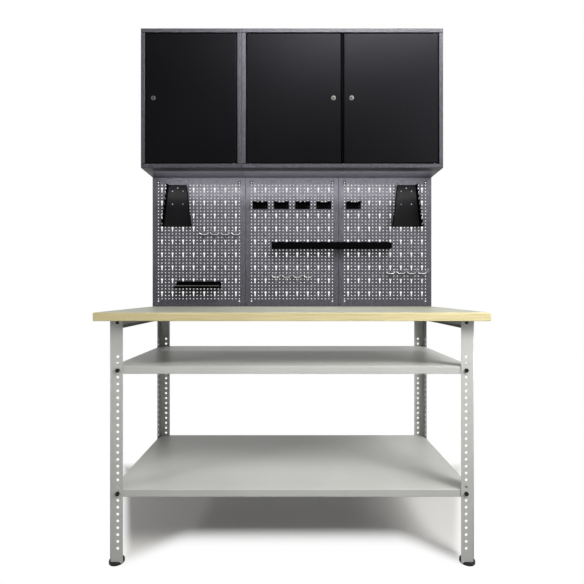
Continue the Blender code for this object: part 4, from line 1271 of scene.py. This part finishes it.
def formula(tree, operation, *values):
    """Socket of a calculation on sockets and plain numbers."""
    node = tree.nodes.new("ShaderNodeMath")
    node.operation = operation
    for socket, value in zip(node.inputs, values):
        if isinstance(value, (int, float)):
            socket.default_value = value
        else:
            tree.links.new(value, socket)
    return node.outputs["Value"]


def seen(tree):
    """Socket that is 1 for the eye, reflections and clear pieces, and 0 for light that bounces on."""
    path = tree.nodes.new("ShaderNodeLightPath")
    first = formula(tree, "MAXIMUM", path.outputs["Is Camera Ray"], path.outputs["Is Glossy Ray"])
    return formula(tree, "MAXIMUM", first, path.outputs["Is Transmission Ray"])


def fade(tree, source, limits=(0, 1), levels=(0, 1)):
    """Socket that goes softly from one level to another as its source passes between two limits."""
    node = tree.nodes.new("ShaderNodeMapRange")
    node.interpolation_type = "SMOOTHSTEP"
    for name, value in zip(("From Min", "From Max", "To Min", "To Max"), (*limits, *levels)):
        node.inputs[name].default_value = value
    tree.links.new(source, node.inputs["Value"])
    return node.outputs["Result"]


def shadow_edge(tree):
    """Socket that is near 0 under the bench, where the floor shows its shadow, and 1 farther off."""
    place = tree.nodes.new("ShaderNodeNewGeometry")
    split = tree.nodes.new("ShaderNodeSeparateXYZ")
    tree.links.new(place.outputs["Position"], split.inputs["Vector"])
    across = formula(tree, "ABSOLUTE", split.outputs["X"])
    flare = formula(tree, "MULTIPLY", split.outputs["Y"], SHADOW_FLARE)
    inside = formula(tree, "SUBTRACT", across, flare)
    along = formula(tree, "SUBTRACT", split.outputs["Y"], SHADOW_MIDDLE)
    away = formula(tree, "ABSOLUTE", along)
    reach = fade(tree, across, SHADOW_ENDS, (0, SHADOW_REACH))
    depth = formula(tree, "SUBTRACT", away, reach)
    side_fade = fade(tree, inside, SHADOW_WIDTH)
    depth_fade = fade(tree, depth, SHADOW_DEPTH)
    either = formula(tree, "MAXIMUM", side_fade, depth_fade)
    return formula(tree, "MAXIMUM", either, SHADOW_LIFT)


def make_floor():
    """White floor that takes the shadow near the bench and is plain white farther off."""
    bm = bmesh.new()
    bmesh.ops.create_grid(bm, x_segments=1, y_segments=1, size=FLOOR_HALF)
    floor = put("floor", finish_mesh(bm, "floor"))
    material = new_material("white_floor", 0.9, specular=0.0)
    tree = material.node_tree
    shader = tree.nodes["Principled BSDF"]
    view = seen(tree)
    tone = ramp(material, view, (0, (FLOOR_BOUNCE,) * 3), (1, FLOOR_LIT))
    tree.links.new(tone, shader.inputs["Base Color"])
    white = tree.nodes.new("ShaderNodeEmission")
    tree.links.new(fade(tree, view, levels=(FAR_BOUNCE, 1)), white.inputs["Strength"])
    mix = tree.nodes.new("ShaderNodeMixShader")
    tree.links.new(shadow_edge(tree), mix.inputs["Fac"])
    tree.links.new(shader.outputs["BSDF"], mix.inputs[1])
    tree.links.new(white.outputs["Emission"], mix.inputs[2])
    tree.links.new(mix.outputs["Shader"], tree.nodes["Material Output"].inputs["Surface"])
    floor.data.materials.append(material)


def make_world():
    """White to the eye and in reflections, a softer level as light."""
    world = bpy.data.worlds.new("studio")
    bpy.context.scene.world = world
    world.use_nodes = True
    tree = world.node_tree
    back = tree.nodes["Background"]
    back.inputs["Color"].default_value = (1, 1, 1, 1)
    tree.links.new(fade(tree, seen(tree), levels=(WORLD_LIGHT, 1)), back.inputs["Strength"])


def add_softbox(name, location, target, size, power, spread=180):
    """Lamp of a width and height at a place, turned to a target; the eye doesn't see it."""
    lamp = bpy.data.lights.new(name, "AREA")
    lamp.shape = "RECTANGLE"
    lamp.size, lamp.size_y = size
    lamp.energy = power
    lamp.spread = math.radians(spread)
    box = put(name, lamp)
    box.location = location
    box.rotation_euler = (Vector(target) - Vector(location)).to_track_quat("-Z", "Y").to_euler()
    box.visible_camera = False


def add_camera():
    data = bpy.data.cameras.new("camera")
    data.sensor_width = SENSOR
    data.lens = LENS
    camera = put("camera", data)
    camera.location = EYE
    camera.rotation_euler = STOOD_UP
    bpy.context.scene.camera = camera


make_floor()
make_world()
add_softbox("key_right", (1.543, -1.49, 2.4), (0, 0, 0.6), (1.0, 1.0), 12.5, spread=75)
add_softbox("side_right", (1.847, -0.982, 1.48), (0, 0, 0.8), (0.8, 0.8), 18.5)
add_softbox("side_left", (-1.847, -1.1, 1.35), (0, 0, 0.6), (0.25, 0.25), 6.5)
add_softbox("low_front", (0.0, -2.6, 0.25), (0, 0.2, 1.4), (1.6, 0.4), 2.4, spread=70)
add_softbox("overhead", (0.0, -0.673, 3.111), (0, 0, 0.6), (1.2, 1.2), 21.5)
add_softbox("door_light", (0.75, -1.22, 3.3), (0.25, 0.13, 2.25), (1.7, 0.5), 15.5, spread=40)
add_softbox("under_cabinets", (0.0, 0.16, 1.41), (0, 0.28, 1.4), (1.24, 0.02), 2.4, spread=160)
add_softbox("worktop_light", (0.18, 0.08, 1.4), (0.18, 0.04, 0.8), (0.8, 0.04), 1.9, spread=130)
add_softbox("rear_fill", (0.0, 2.1, 2.6), (0, 0.3, 1.7), (1.5, 0.6), 9, spread=40)
add_camera()
bpy.context.scene.view_settings.view_transform = "Standard"
